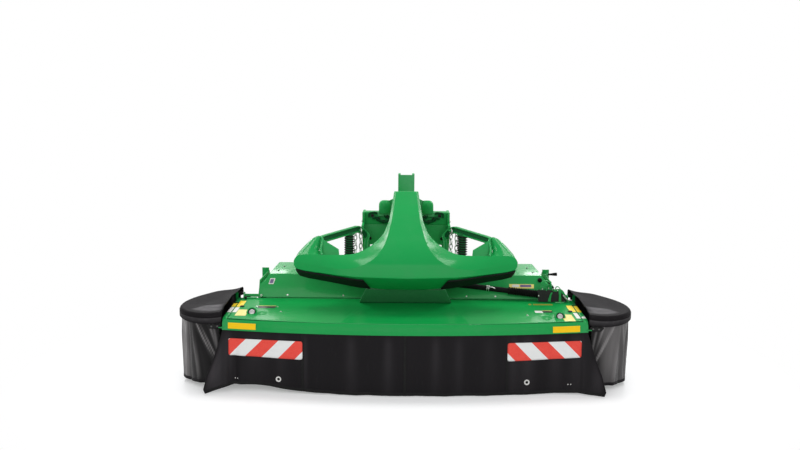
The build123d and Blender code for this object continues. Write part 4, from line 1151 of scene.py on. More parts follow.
# ---- front curtain: a hung sheet with wings that flare at both ends

curtain = {"behind": 0.0125, "top": 0.524, "plain": 1.405, "end": 1.60, "wall": 0.0035, "columns": 150,
           "rows": 26, "flare": 0.170, "flareFrom": 1.08}
hemHeight = {
    -1: [(0, 0.006), (0.5, 0.008), (0.74, 0.017), (0.91, 0.031), (1.05, 0.050), (1.144, 0.058),
         (1.313, 0.062),
         (1.36, 0.063), (1.42, 0.052), (1.50, 0.030), (1.60, 0.005)],
    1: [(0, 0.006), (0.9, 0.005), (1.137, 0.008), (1.28, 0.013), (1.36, 0.015), (1.465, 0.011),
        (1.60, 0.005)]}
wingEdge = [(1.405, (1.405, 0.1625, 0.524)), (1.430, (1.440, 0.168, 0.500)), (1.46, (1.466, 0.150, 0.410)),
            (1.50, (1.497, 0.102, 0.293)), (1.55, (1.544, 0.047, 0.158)), (1.60, (1.568, 0.004, 0.045))]
softFolds = {      # middle, width and depth of each hanging fold, by side
    -1: [(0.12, 0.07, 0.005), (0.28, 0.05, -0.006), (0.40, 0.06, 0.008), (0.60, 0.08, -0.006),
         (0.80, 0.02, -0.004),
         (0.95, 0.10, 0.006), (1.18, 0.07, -0.004), (1.345, 0.028, -0.022), (1.43, 0.035, 0.012)],
    1: [(0.10, 0.06, -0.004), (0.30, 0.07, 0.008), (0.48, 0.05, -0.006), (0.62, 0.07, 0.007),
        (0.80, 0.02, -0.004),
        (0.98, 0.09, 0.007), (1.20, 0.06, -0.004), (1.38, 0.035, -0.012), (1.47, 0.035, 0.008)]}

paintedHighlight = {      # middle, width and strength of the painted highlight bands, by side
    -1: [(1.51, 0.055, 0.75), (1.40, 0.03, 0.25), (1.17, 0.07, 0.22), (0.97, 0.04, 0.15), (0.78, 0.015, 0.30),
         (0.42, 0.035, 0.22), (0.13, 0.03, 0.28)],
    1: [(1.53, 0.035, 0.35), (1.36, 0.05, 0.28), (1.18, 0.05, 0.22), (0.96, 0.05, 0.30), (0.85, 0.03, 0.25),
        (0.66, 0.04, 0.12), (0.42, 0.03, 0.16), (0.24, 0.03, 0.20)]}


# strength of the painted highlight bands at a point of the front curtain
def curtainPaintedSheen(along, down):
    bands = sum(strength * hump(abs(along), middle, width * (1 + 0.4 * down))
                for middle, width, strength in paintedHighlight[-1 if along < 0 else 1])
    return bands * easeOf(down, 0.02, 0.25) * (1.0 - 0.45 * easeOf(down, 0.45, 0.9))


def curtainAt(along, down, ahead=0.0):
    # a point of the curtain: along is a place across the machine, not a length of cloth, and down runs
    # from 0 at the top to 1 at the hem
    side = -1 if along < 0 else 1
    a = abs(along)
    if a <= curtain["plain"]:
        top = Vector((a, bowAt(a) + curtain["behind"], curtain["top"]))
    else:
        top = Vector([onTable([(k, v[n]) for k, v in wingEdge], a) for n in range(3)])
    x = a if a < 1.30 else 1.30 + (a - 1.30) * 0.873
    spread = max(0.0, (a - curtain["flareFrom"]) / (curtain["end"] - curtain["flareFrom"]))
    hem = Vector((x, bowAt(x) + curtain["behind"] - curtain["flare"] * spread ** 1.7,
                  onTable(hemHeight[side], a)))
    hem.y = max(hem.y, 0.003)
    share = down
    p = top.lerp(hem, share)
    if a <= curtain["plain"]:
        p.y = top.y + (hem.y - top.y) * share ** 1.5
    folds = sum(depth * hump(a, middle, width) for middle, width, depth in softFolds[side])
    folds += 0.0016 * math.sin(a * 41 + side) + 0.0010 * math.sin(a * 97 + down * 3)
    p.y = max(0.0015, p.y - folds * easeOf(down, 0.0, 1.1) * (1.0 if a < 1.5 else (1.6 - a) / 0.1) - ahead)
    return at(side * p.x, p.y, p.z)


def curtainHit(x, height, ahead=0.0):
    # the curtain's point at this x and height, clear of the wings
    top, hem = curtain["top"], onTable(hemHeight[-1 if x < 0 else 1], abs(x))
    return curtainAt(x, (top - height) / (top - hem), ahead)


def curtainLength(along):
    top, hem = curtainAt(along, 0.0), curtainAt(along, 1.0)
    return (hem - top).length


def makeFrontCurtain():
    columns, rows = curtain["columns"], curtain["rows"]
    half = [curtain["end"] * (i / columns) for i in range(columns + 1)]
    places = [-a for a in reversed(half[1:])] + half
    points, cloth, crest = [], [], []
    for a in places:
        long = curtainLength(a)
        for j in range(rows + 1):
            points.append(curtainAt(a, j / rows))
            cloth.append((a, -long * j / rows))
            crest.append(curtainPaintedSheen(a, j / rows))
    faces = gridFaces(len(places), rows + 1)
    sheet = newPiece("front_curtain_cloth", points, faces, "front_flap", "frontVinyl", "curtain_vinyl",
                     outward=False, cloth=cloth, crest=crest, smooth=60.0)
    wall = sheet.modifiers.new("wall", "SOLIDIFY")
    wall.thickness = curtain["wall"]
    wall.offset = 0.0
    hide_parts("front_curtain")

    # hem: the cloth is doubled and welded along its lower edge
    stations = []
    for a in places[1:-1:2]:
        foot, above = curtainAt(a, 1.0), curtainAt(a, 0.94)
        upward = (above - foot).normalized()
        ahead = curtainAt(min(a + 0.02, curtain["end"]), 1.0) - curtainAt(max(a - 0.02, -curtain["end"]), 1.0)
        across = ahead.normalized().cross(upward).normalized()
        stations.append((foot + upward * 0.011, across, upward))
    hem = newPiece("front_curtain_hem", *sweptMesh(stations, roundedBox(0.0085, 0.024, 0.0035, 3)),
                   "front_flap",
                   "trimRubber", "curtain_vinyl", smooth=50.0)

    # welded seams between the cloth's panels, stitched along both sides, and a stitched line above the hem
    seams = []
    for a in (-0.80, 0.0, 0.80):
        line = [curtainAt(a, j / 40, 0.0028) for j in range(41)]
        seams.append(sweptMesh(alongPath(line, Vector((0, -1, 0))), roundedBox(0.020, 0.0022, 0.0009, 2)))
    seam = newPiece("front_curtain_seams", *joined(*seams), "front_flap", "frontSeam", "curtain_vinyl")
    points, edges = [], []
    for a in (-0.807, -0.793, -0.007, 0.007, 0.793, 0.807):
        start = len(points)
        points += [curtainAt(a, j / 20, 0.0044) for j in range(21)]
        edges += [(start + j, start + j + 1) for j in range(20)]
    for side in (-1, 1):
        start = len(points)
        points += [curtainAt(side * (0.01 + 1.55 * i / 60), 0.925, 0.0026) for i in range(61)]
        edges += [(start + i, start + i + 1) for i in range(60)]
    stitches = grown("front_curtain_stitches", "stitches", points, "front_flap", "threadGrey",
                     "curtain_vinyl",
                     edges=edges)


fittings = {"rings": [(-0.992, 0.112), (0.958, 0.104)], "ringProfile": [
    (0.000, 0.0110), (0.000, 0.0215), (0.0015, 0.0225), (0.0030, 0.0215), (0.0036, 0.0175), (0.0030, 0.0125),
    (0.0005, 0.0105)], "rivets": [(-1.345, 0.108), (-1.321, 0.108), (1.287, 0.080), (1.311, 0.080)]}


def makeCurtainFittings():
    rings, holes, facing = [], [], []
    for x, z in fittings["rings"]:
        p = curtainHit(x, z, 0.0018)
        out = Vector((0.10 * (1 if x > 0 else -1), -1, 0.02)).normalized()
        points, faces = turnedMesh(p, out, fittings["ringProfile"], 30)
        rings.append((points, faces[:-2]))
        # dark discs in the rings' holes: painted shade seen through the cloth
        holes.append(turnedMesh(p, out, [(0.0, 0.012), (0.0006, 0.012)], 24))
    newPiece("curtain_rings", *joined(*rings), "front_flap", "zincSteel")
    newPiece("curtain_ring_holes", *joined(*holes), "front_flap", "trimRubber")
    spots = [curtainHit(x, z, 0.0022) for x, z in fittings["rivets"]]
    grown("curtain_rivets", "studs", spots, "front_flap", "zincSteel", facing=[(0, -1, 0)] * 4,
          Head_radius=0.0030, Head_height=0.003, Washer_radius=0.0042, Sides=14)


boards = {"middle": 1.100, "middleHeight": 0.352, "width": 0.606, "height": 0.139, "wall": 0.0015}


def makeBoards():
    # striped warning boards, stuck flat on the cloth
    for sideName, side in bothSides:
        columns, rows = 40, 10
        points, cloth = [], []
        for i in range(columns + 1):
            for j in range(rows + 1):
                u = boards["width"] * i / columns      # from the outer end inwards
                v = boards["height"] * j / rows
                x = side * (boards["middle"] + boards["width"] / 2 * 0.987 - u * 0.987)
                z = boards["middleHeight"] + boards["height"] / 2 - v + 0.014 * (0.5
                        - i / columns) * (j / rows)
                for end in (0, columns):
                    if i == end and j in (0, rows):
                        x += side * (-0.004 if end == 0 else 0.004)
                        z += -0.004 if j == 0 else 0.004
                points.append(curtainHit(x, z, 0.0042))
                cloth.append((u, v))
        faces = gridFaces(columns + 1, rows + 1)
        board = newPiece(f"warning_board_{sideName}", points, faces, "front_flap", "hazardFoil",
                         "hazard_foil",
                         outward=False, cloth=cloth)
        wall = board.modifiers.new("wall", "SOLIDIFY")
        wall.thickness = boards["wall"]
        wall.offset = 0.0
        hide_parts(f"hazard_board_{sideName}")


makeFrontCurtain()
makeCurtainFittings()
makeBoards()
print("front curtain made")

# ---- side shields: moulded caps with rounded rims, and the curtains under them

cap = {"centre": (1.4930, 0.5355), "radius": 0.3712, "startTurn": -95.9, "endTurn": 103.4,
       "pole": (1.4525, 0.62),
       "columns": 84, "rows": 22, "round": 0.030, "wallFront": 0.088, "wallRear": 0.072, "skin": 0.005,
       "low": 0.611, "rise": 0.055, "crown": 0.055, "tilt": 0.078, "outer": 1.865, "emboss": 0.011}


def capTop(x, depth):
    # height of the cap's upper face before its rim is rounded
    u = max(0.0, cap["outer"] - x)
    swell = 0.34 + 0.75 * (depth - 0.172) / 0.733
    z = cap["low"] + cap["rise"] * u + cap["crown"] * swell * (u / 0.46) ** 3 + cap["tilt"] * (depth - 0.45)
    near = math.hypot(x - cap["centre"][0], depth - cap["centre"][1])
    front = easeOf(near, 0.285, 0.235) if depth < 0.62 else easeOf(near, 0.285, 0.235)
    z += cap["emboss"] * front * easeOf(depth, 0.40, 0.335 + 0.05 * (x - 1.5)) * easeOf(x, 1.40, 1.50)
    z -= 0.012 * hump(depth, 0.60, 0.16) * hump(x, 1.68, 0.10)
    z -= 0.024 * easeOf(depth, 0.52, 0.86) * easeOf(x, 1.64, 1.44)
    return z + 0.010 * hump(depth, 0.36, 0.12) * hump(x, 1.62, 0.12)


def capWall(share):
    # height of the rim's skirt, from the front round to the rear
    return blendOf(cap["wallFront"], cap["wallRear"], easeOf(share, 0.10, 0.42))


def capPaintedSheen(x, depth):
    # a painted highlight where the pressed step faces the front
    near = math.hypot(x - cap["centre"][0], depth - cap["centre"][1])
    lens = easeOf(near, 0.322, 0.292) * easeOf(depth, 0.362,
                                               0.330) * (0.30 + 0.70 * easeOf(depth, 0.205, 0.260))
    return lens * easeOf(x, 1.44, 1.52) * easeOf(x, 1.78, 1.66)


def capRim(share, inset=0.0):
    turn = math.radians(blendOf(cap["startTurn"], cap["endTurn"], share))
    r = cap["radius"] - inset
    return Vector((cap["centre"][0] + r * math.cos(turn), cap["centre"][1] + r * math.sin(turn), 0)), Vector(
        (math.cos(turn), math.sin(turn), 0))


def makeCaps():
    for name, side in bothSides:
        points, faces = [at(side * cap["pole"][0], cap["pole"][1], capTop(*cap["pole"]))], []
        columns, rows = cap["columns"], cap["rows"]
        # rounding, in shares of its radius
        section = [(0.25, 0.0), (0.60, 0.30), (0.85, 0.75), (1.0, 1.45)]
        crest = [0.0]
        for i in range(columns + 1):
            edge, out = capRim(i / columns)
            deep = capWall(i / columns)
            # a pressed groove, then the skirt, which stands a little prouder, and its turned lower edge
            wall = [(-0.002, deep * 0.37), (-0.0050, deep * 0.41), (-0.0050, deep * 0.45), (0.0, deep * 0.49),
                    (0.0, deep - 0.004), (-0.0030, deep)]
            start = Vector((cap["pole"][0], cap["pole"][1], 0))
            inner = edge - out * cap["round"]
            for j in range(1, rows + 1):
                p = start.lerp(inner, (j / rows) ** 0.85)
                points.append(at(side * p.x, p.y, capTop(p.x, p.y)))
                crest.append(capPaintedSheen(p.x, p.y))
            top = capTop(inner.x, inner.y)
            for along, down in section:
                p = inner + out * cap["round"] * along
                points.append(at(side * p.x, p.y, top - cap["round"] * down * 0.55))
                crest.append(0.0)
            for over, down in wall:
                p = edge + out * over
                points.append(at(side * p.x, p.y, top - down))
                # painted highlight along the skirt's upper part
                crest.append(0.34 if over == 0.0 and down < deep * 0.6 else 0.0)
        band = rows + len(section) + len(wall)
        for i in range(columns):
            first, second = 1 + i * band, 1 + (i + 1) * band
            faces.append((0, first, second))
            for j in range(band - 1):
                faces.append((first + j, first + j + 1, second + j + 1, second + j))
        if side > 0:
            faces = [tuple(reversed(f)) for f in faces]
        piece = newPiece(f"shield_cap_{name}", points, faces, f"side_shield_{name}", "shieldPlastic",
                         "shield_plastic", smooth=40.0, crest=crest)
        skin = piece.modifiers.new("skin", "SOLIDIFY")
        skin.thickness = cap["skin"]
        skin.offset = -1.0
        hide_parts(f"side_shield_{name}")


sideCloth = {"inset": 0.020, "from": 0.015, "to": 0.985, "top": 0.560, "foot": 0.036, "columns": 230,
             "rows": 26,
             "wall": 0.0032, "drawn": 0.014,
             # place at a fifth of the drop, slant, width, depth and the strength of the painted highlight on
             # its crest
             "folds": [(0.028, -0.08, 0.009, 0.006, 0.5), (0.055, -0.13, 0.010, 0.009, 0.9),
                       (0.085, -0.17, 0.012, -0.009, 0), (0.110, -0.21, 0.007, 0.007, 1.0),
                       (0.130, -0.23, 0.008, 0.009, 1.2),
                       (0.150, -0.22, 0.014, -0.010, 0), (0.205, -0.06, 0.017, 0.012, 0.35),
                       (0.242, 0.02, 0.014, -0.009, 0), (0.275, 0.05, 0.014, 0.007, 0.4),
                       (0.33, -0.05, 0.030, -0.008, 0),
                       (0.38, -0.04, 0.022, 0.012, 0.8), (0.44, -0.02, 0.022, -0.010, 0),
                       (0.49, 0.02, 0.018, 0.009, 0.6), (0.55, 0.03, 0.028, -0.009, 0),
                       (0.61, -0.03, 0.022, 0.010, 0.8), (0.67, 0.04, 0.022, -0.008, 0),
                       (0.73, 0.08, 0.018, 0.010, 0.7), (0.79, -0.05, 0.026, -0.008, 0),
                       (0.85, -0.08, 0.018, 0.009, 0.8), (0.90, 0.04, 0.020, -0.007, 0),
                       (0.95, -0.03, 0.016, 0.008, 0.5)]}


def sideClothAt(share, down, sway):
    # a point of the cloth, and how strong its painted highlight is there
    along = blendOf(sideCloth["from"], sideCloth["to"], share)
    edge = capRim(along, sideCloth["inset"])[0]
    out = (edge - Vector((*cap["centre"], 0))).normalized()
    push, pale = -sideCloth["drawn"] * down, 0.0
    for i, (place, slant, width, depth, sheenStrength) in enumerate(sideCloth["folds"]):
        centre = place + slant * (down - 0.2) + sway * 0.012 * math.sin(i * 2.3)
        fold = hump(share, centre, width * (0.7 + 0.5 * down))
        push += depth * fold * easeOf(down, -0.05, 0.4)
        pale += sheenStrength * hump(share, centre, width * 0.75) * (0.55 + 0.45 * math.sin(i * 1.7 + down * 6.0))
    push += 0.002 * math.sin(share * 60 + 3 * down) * down
    # tucked up under the cap, and level at the foot
    near = capTop(edge.x, edge.y) - capWall(along) + 0.016
    top = min(near, sideCloth["top"] + 0.12 * easeOf(share, 0.7, 1.0))
    z = blendOf(top, sideCloth["foot"] + 0.004 * math.sin(share * 17), down)
    # broad painted highlight patches on top of the fold crests
    broad = (0.46 * easeOf(share, 0.03, 0.12) * easeOf(share, 0.42, 0.22) if sway > 0
             else 0.85 * hump(share, 0.318, 0.070))
    pale = pale * easeOf(down, 1.0, 0.86) + broad * (1.0 - 0.35 * easeOf(down, 0.55, 1.0))
    return (edge.x + out.x * push, edge.y + out.y * push, z), min(1.0, max(0.0, pale))


def makeSideCurtains():
    for name, side in bothSides:
        columns, rows = sideCloth["columns"], sideCloth["rows"]
        length = cap["radius"] * math.radians(cap["endTurn"] - cap["startTurn"]) * (sideCloth["to"] -
                                                                                   sideCloth["from"])
        points, cloth, crest = [], [], []
        for i in range(columns + 1):
            for j in range(rows + 1):
                (x, depth, z), pale = sideClothAt(i / columns, j / rows, side)
                points.append(at(side * x, depth, z))
                cloth.append((length * i / columns, -0.53 * j / rows))
                crest.append(pale)
        faces = gridFaces(columns + 1, rows + 1)
        sheet = newPiece(f"side_cloth_{name}", points, faces, f"side_shield_{name}", "sideVinyl",
                         "curtain_vinyl",
                         outward=False, cloth=cloth, crest=crest, smooth=60.0)
        wall = sheet.modifiers.new("wall", "SOLIDIFY")
        wall.thickness = sideCloth["wall"]
        wall.offset = 0.0
        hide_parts(f"side_curtain_{name}")
        stations = []
        for i in range(2, columns - 1, 3):
            spots = [sideClothAt(share / columns, down, side)[0]
                     for share, down in ((i, 1.0), (i, 0.95), (i + 2, 1.0), (i - 2, 1.0))]
            foot, above, onward, back = (Vector((side * x, y, z)) for x, y, z in spots)
            ahead = onward - back
            upward = (above - foot).normalized()
            across = ahead.normalized().cross(upward).normalized()
            stations.append((at(foot.x, foot.y, foot.z) + upward * 0.013, across, upward))
        hem = newPiece(f"side_cloth_hem_{name}", *sweptMesh(stations, roundedBox(0.0075, 0.026, 0.003, 2)),
                       f"side_shield_{name}", "frontVinyl", "curtain_vinyl", smooth=50.0)


bracket = {"inner": 1.462, "outer": 1.575, "front": 0.176, "low": 0.490, "high": 0.524, "thick": 0.005}


def makeShieldBrackets():
    # black angle under the cap's front corner, which holds the curtain's front edge
    for name, side in bothSides:
        b = bracket
        outline = [(b["inner"], b["low"]), (b["outer"] - 0.02, b["low"] + 0.004),
                   (b["outer"], b["high"] - 0.01), (b["outer"] - 0.004, b["high"]), (b["inner"], b["high"])]
        face = [at(side * x, b["front"], z) for x, z in outline]
        foot = [at(side * x, b["front"] + y, b["low"]) for x, y in
                ((b["inner"], 0), (b["outer"] - 0.02, 0), (b["outer"] - 0.03, 0.05),
                 (b["inner"] + 0.01, 0.05))]
        meshes = joined(plateMesh(face, Vector((0, b["thick"], 0))),
                        plateMesh(foot, Vector((0, 0, b["thick"]))))
        newPiece(f"shield_bracket_{name}", *meshes, f"side_shield_{name}", "blackPaint", bevel=0.0012)
        spots = [at(side * x, b["front"], z) for x, z in ((1.534, 0.508), (1.488, 0.510))]
        grown(f"shield_bracket_bolts_{name}", "studs", spots, f"side_shield_{name}", "darkSteel",
              facing=[(0, -1, 0)] * 2, Head_radius=0.0045, Head_height=0.004, Washer_radius=0.007, Sides=6)
        # green foot of the lip, where it bolts to its arm
        tab = [at(side * x, d, 0.5005) for x, d in ((1.436, 0.150), (1.475, 0.156), (1.480, 0.182),
                                                    (1.436, 0.186))]
        newPiece(f"lip_foot_{name}", *plateMesh(tab, Vector((0, 0, 0.005))), "front_flap", "greenPaint",
                 bevel=0.001)


makeCaps()
makeSideCurtains()
makeShieldBrackets()
print("side shields made")

# ---- behind the cover: rails, chains, headstock

rail = {"corners": [(0.7450, 0.700, 0.965), (0.7440, 0.770, 1.118), (0.7020, 0.880, 1.126),
                    (0.4380, 1.452, 1.147), (0.3560, 1.500, 1.070), (0.3640, 1.400, 0.870)],
        "radii": [0.0, 0.045, 0.055, 0.085, 0.10, 0.0], "wide": 0.040, "deep": 0.062, "lip": 0.011,
        "recess": 0.010}


def railSection():
    # a rolled rail with a broad recess in each side and a pressed line along its top
    w, h, lip, k = rail["wide"] / 2, rail["deep"] / 2, rail["lip"], rail["recess"]
    right = [(w - 0.003, -h), (w, -h + 0.003), (w, -h + lip - 0.002), (w - k, -h + lip), (w - k, h - lip),
             (w, h - lip + 0.002), (w, h - 0.004), (w - 0.004, h)]
    top = [(0.005, h), (0.003, h - 0.004), (-0.003, h - 0.004), (-0.005, h)]
    return right + top + [(-x, z) for x, z in reversed(right)]


def makeRails():
    inside = rail["wide"] / 2 - rail["recess"] + 0.0006
    tall = rail["deep"] - 2 * rail["lip"] - 0.006
    for name, side in bothSides:
        corners = [at(side * x, depth, z) for x, depth, z in rail["corners"]]
        stations = alongPath(roundedPath(corners, rail["radii"], 9), Vector((0.15 * side, -0.2, 1)))
        piece = newPiece(f"side_rail_arch_{name}", *sweptMesh(stations, railSection()), "mower", "greenPaint",
                         "green_paint", smooth=38.0)
        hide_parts(f"side_rail_{name}")
        # the recess is painted in the darkest green copy, as painted shade
        floor = [(inside, -tall / 2), (inside, tall / 2), (-inside, tall / 2), (-inside, -tall / 2)]
        newPiece(f"side_rail_recess_{name}", *sweptMesh(stations[1:-1], floor), "mower", "greenShade",
                 smooth=38.0)


chain = {"places": ((0.466, 1.420), (0.418, 1.436)), "foot": 0.884, "links": 6, "pitch": 0.0455,
         "halfWidth": 0.0150, "wire": 0.0052}


def makeChains():
    for name, side in bothSides:
        spots = [at(side * x, depth, chain["foot"] + 0.012 * i)
                 for i, (x, depth) in enumerate(chain["places"])]
        piece = grown(f"lift_chain_links_{name}", "links", spots, "mower", "zincSteel", "chain_steel",
                      Links=chain["links"], Pitch=chain["pitch"], Half_width=chain["halfWidth"],
                      Wire=chain["wire"])
        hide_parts(f"lift_chain_{name}")
        pins = []
        for x, depth in chain["places"]:
            for z in (0.872, 1.134):
                pins.append(turnedMesh(at(side * x - 0.020, depth, z), Vector((1, 0, 0)),
                                       [(0.0, 0.0001), (0.0, 0.009), (0.001, 0.010), (0.039, 0.010),
                                        (0.040, 0.009), (0.040, 0.0001)], 16))
                pins.append(plateMesh([at(side * x + u, depth - 0.003, 0.861 + v) for u, v in
                                       ((-0.016, 0), (0.016, 0), (0.012, 0.024), (-0.012, 0.024))],
                                      Vector((0, 0.006, 0))) if z < 1 else
                            plateMesh([at(side * x + u, depth - 0.003, 1.128 + v) for u, v in
                                       ((-0.012, -0.006), (0.012, -0.006), (0.016, 0.012), (-0.016, 0.012))],
                                      Vector((0, 0.006, 0))))
        newPiece(f"lift_chain_lugs_{name}", *joined(*pins), "mower", "greenPaint", smooth=40.0)


spring = {"x": 0.513, "depth": 1.290, "foot": 0.876, "turns": 11.0, "radius": 0.041, "height": 0.235,
          "wire": 0.0060}


def makeSprings():
    for name, side in bothSides:
        spot = at(side * spring["x"], spring["depth"], spring["foot"])
        grown(f"strut_spring_{name}", "coils", [spot], "mower", "blackPaint", Turns=spring["turns"],
              Coil_radius=spring["radius"], Height=spring["height"], Wire=spring["wire"])
        # the seats take the darker green copy, as painted shade
        seats = [turnedMesh(at(side * spring["x"], spring["depth"], z), Vector((0, 0, 1)),
                            [(0.0, 0.030), (0.0, 0.047), (0.002, 0.049), (0.006, 0.049), (0.008, 0.047),
                             (0.008, 0.030)], 26) for z in (0.864, 1.112)]
        newPiece(f"strut_seats_{name}", *joined(*seats), "mower", "greenDeep", smooth=35.0)


headstock = {"mastFoot": (1.903, 1.484), "mastHigh": 0.148, "mastWall": 0.024, "dip": 0.030, "notch": 0.016,
             "mastHalf": [(0.0, 0.058), (0.30, 0.056), (0.55, 0.064), (0.78, 0.079), (1.0, 0.078)],
             "shoulder": (0.205, 1.655, 1.272), "shoulderShape": [
                 (0.000, 0.0001), (0.000, 0.050), (0.004, 0.053), (0.060, 0.053), (0.085, 0.052),
                 (0.103, 0.046), (0.114, 0.036), (0.120, 0.022), (0.122, 0.0001)],
             "front": 1.662,
             "levers": [([(0.352, 1.230), (0.350, 1.268), (0.300, 1.276), (0.240, 1.262), (0.232, 1.238)],
                         0.020),
                        ([(0.322, 1.222), (0.286, 1.232), (0.250, 1.196), (0.196, 1.186), (0.158, 1.204)],
                         0.024),
                        ([(0.205, 1.252), (0.190, 1.225), (0.160, 1.222)], 0.016)],
             "eyes": [(0.266, 1.214, 0.015), (0.214, 1.190, 0.013), (0.318, 1.246, 0.011),
                      (0.176, 1.240, 0.011), (0.340, 1.030, 0.010)]}


def makeHeadstock():
    # waisted head that the top link sits in: its two ears turn forward
    depth, foot = headstock["mastFoot"]
    rows, columns, points = 12, 12, []
    for i in range(rows + 1):
        t = i / rows
        half = onTable(headstock["mastHalf"], t)
        for j in range(columns + 1):
            u = 2 * j / columns - 1
            points.append(at(u * half, depth + headstock["dip"] * (1 - u * u) ** 1.5 * easeOf(t, 0.1, 0.6),
                             foot + headstock["mastHigh"] * t - headstock["notch"] * (1 - u ** 4) * t ** 3))
    newPiece("mast_head", points, gridFaces(rows + 1, columns + 1), "mower", "greenPaint", "green_paint",
             wall=headstock["mastWall"], bevel=0.004, smooth=30.0)

    x, depth, z = headstock["shoulder"]
    parts = [turnedMesh(at(side * x, depth, z), Vector((0, 0, 1)), headstock["shoulderShape"], 30)
             for side in (-1, 1)]
    parts += [plateMesh([at(side * (x + u), depth - 0.004, z + v) for u, v in
                         ((-0.075, -0.03), (0.06, -0.03), (0.068, 0.01), (-0.075, 0.01))],
                        Vector((0, 0.05, 0)))
              for side in (-1, 1)]
    newPiece("headstock_shoulders", *joined(*parts), "mower", "greenPaint", "green_paint", smooth=40.0)

    # catch levers of the hitch, painted in the darkest green copy as painted shade, and the eyes that they
    # turn on
    levers, eyes = [], []
    for side in (-1, 1):
        for k, (line, wide) in enumerate(headstock["levers"]):
            corners = [at(side * lx, headstock["front"] - 0.006 * k, lz) for lx, lz in line]
            path = roundedPath(corners, [0.014] * len(corners), 5)
            levers.append(sweptMesh(alongPath(path, Vector((0, -1, 0))), roundedBox(wide, 0.014, 0.003, 2)))
        for ex, ez, radius in headstock["eyes"]:
            eyes.append(turnedMesh(at(side * ex, headstock["front"] + 0.004, ez), Vector((0, -1, 0)),
                                   [(0.0, 0.0001), (0.0, radius + 0.005), (0.014, radius + 0.005),
                                    (0.016, radius + 0.003), (0.016, radius * 0.5), (0.010, radius * 0.45),
                                    (0.010, 0.0001)], 18))
    newPiece("hitch_levers", *joined(*levers), "mower", "greenShade", smooth=40.0)
    newPiece("hitch_eyes", *joined(*eyes), "mower", "blackPaint", smooth=40.0)


makeRails()
makeChains()
makeSprings()
makeHeadstock()
print("rails, chains and headstock made")

# ---- hood, drive and the small fittings round them

hood = {"frontDepth": 0.862, "frontHeight": 0.612, "kneeDepth": 0.950, "kneeHeight": 0.803, "topDepth": 1.250,
        "topHeight": 0.820}


def hoodFace(x, height, proud=0.0):
    share = (height - hood["frontHeight"]) / (hood["kneeHeight"] - hood["frontHeight"])
    return at(x, blendOf(hood["frontDepth"], hood["kneeDepth"], share) - proud, height)


def hoodRoof(x, depth, proud=0.0):
    share = (depth - hood["kneeDepth"]) / (hood["topDepth"] - hood["kneeDepth"])
    return at(x, depth, blendOf(hood["kneeHeight"], hood["topHeight"], share) + proud)


hoodMarks = [      # name, finish, x, height, width, length, lean of its sides
    ("hood_mark_a", "creamMark", 1.010, 0.716, 0.215, 0.034, 0.0),
    ("hood_mark_b", "whiteMark", 0.958, 0.719, 0.060, 0.020, 0.0),
    ("hood_mark_c", "violetMark", 1.046, 0.719, 0.096, 0.020, 0.0),
    ("hood_mark_d", "whiteMark", -1.164, 0.742, 0.044, 0.048, 0.014),
    ("hood_mark_e", "violetMark", -1.165, 0.742, 0.030, 0.034, 0.010),
]


def makeHoodDetails():
    for i, (name, finish, x, z, width, high, lean) in enumerate(hoodMarks):
        points = [hoodFace(x + u + lean * v / high, z + v, 0.0016 + 0.0006 * (i % 3))
                  for u, v in roundedBox(width, high, 0.003, 3)]
        newPiece(name, *plateMesh(points, Vector((0, 0.0006, 0))), "mower", finish)
    roof, front = Vector((0, -0.215, 0.977)), Vector((0, -0.90, 0.435))
    spots = [hoodRoof(side * x, d, 0.001) for side in (-1, 1) for x, d in ((1.100, 1.245), (1.128, 1.060),
                                                                           (0.62, 1.20), (0.62, 1.02))]
    grown("hood_roof_bolts", "studs", spots, "mower", "darkSteel", facing=[tuple(roof)] * len(spots),
          Head_radius=0.0065, Head_height=0.005, Washer_radius=0.0105, Sides=6)
    spots = [hoodFace(x, 0.632, 0.002) for x in (-1.022, -0.539, 0.530, 0.780)]
    grown("hood_front_bolts", "studs", spots, "mower", "zincSteel", facing=[tuple(front)] * len(spots),
          Head_radius=0.005, Head_height=0.004, Washer_radius=0.007, Sides=6)
    # folded stiffening lips along the hood's foot, left and right of the gearbox
    lips = []
    for side in (-1, 1):
        section = [(0.0, 0.0), (0.010, 0.0), (0.014, 0.004), (0.014, 0.010), (0.0, 0.010)]
        stations = [(at(side * x, 0.8585, 0.6075), Vector((0, -1, 0)), Vector((0, 0, 1)))
                    for x in (0.21, 0.60, 1.00, 1.205)]
        lips.append(sweptMesh(stations, [(u - 0.016, v) for u, v in section]))
    newPiece("hood_foot_lips", *joined(*lips), "mower", "greenPaint", smooth=30.0)


drive = {"start": (0.130, 0.890, 0.765), "end": (1.170, 0.822, 0.661), "bellows": (0.905, 1.128), "ribs": 15,
         "radius": 0.0265, "ribDepth": 0.0090}


def driveAt(x, ahead=0.0, above=0.0):
    (x0, d0, z0), (x1, d1, z1) = drive["start"], drive["end"]
    share = (x - x0) / (x1 - x0)
    return at(x, blendOf(d0, d1, share) - ahead, blendOf(z0, z1, share) + above)


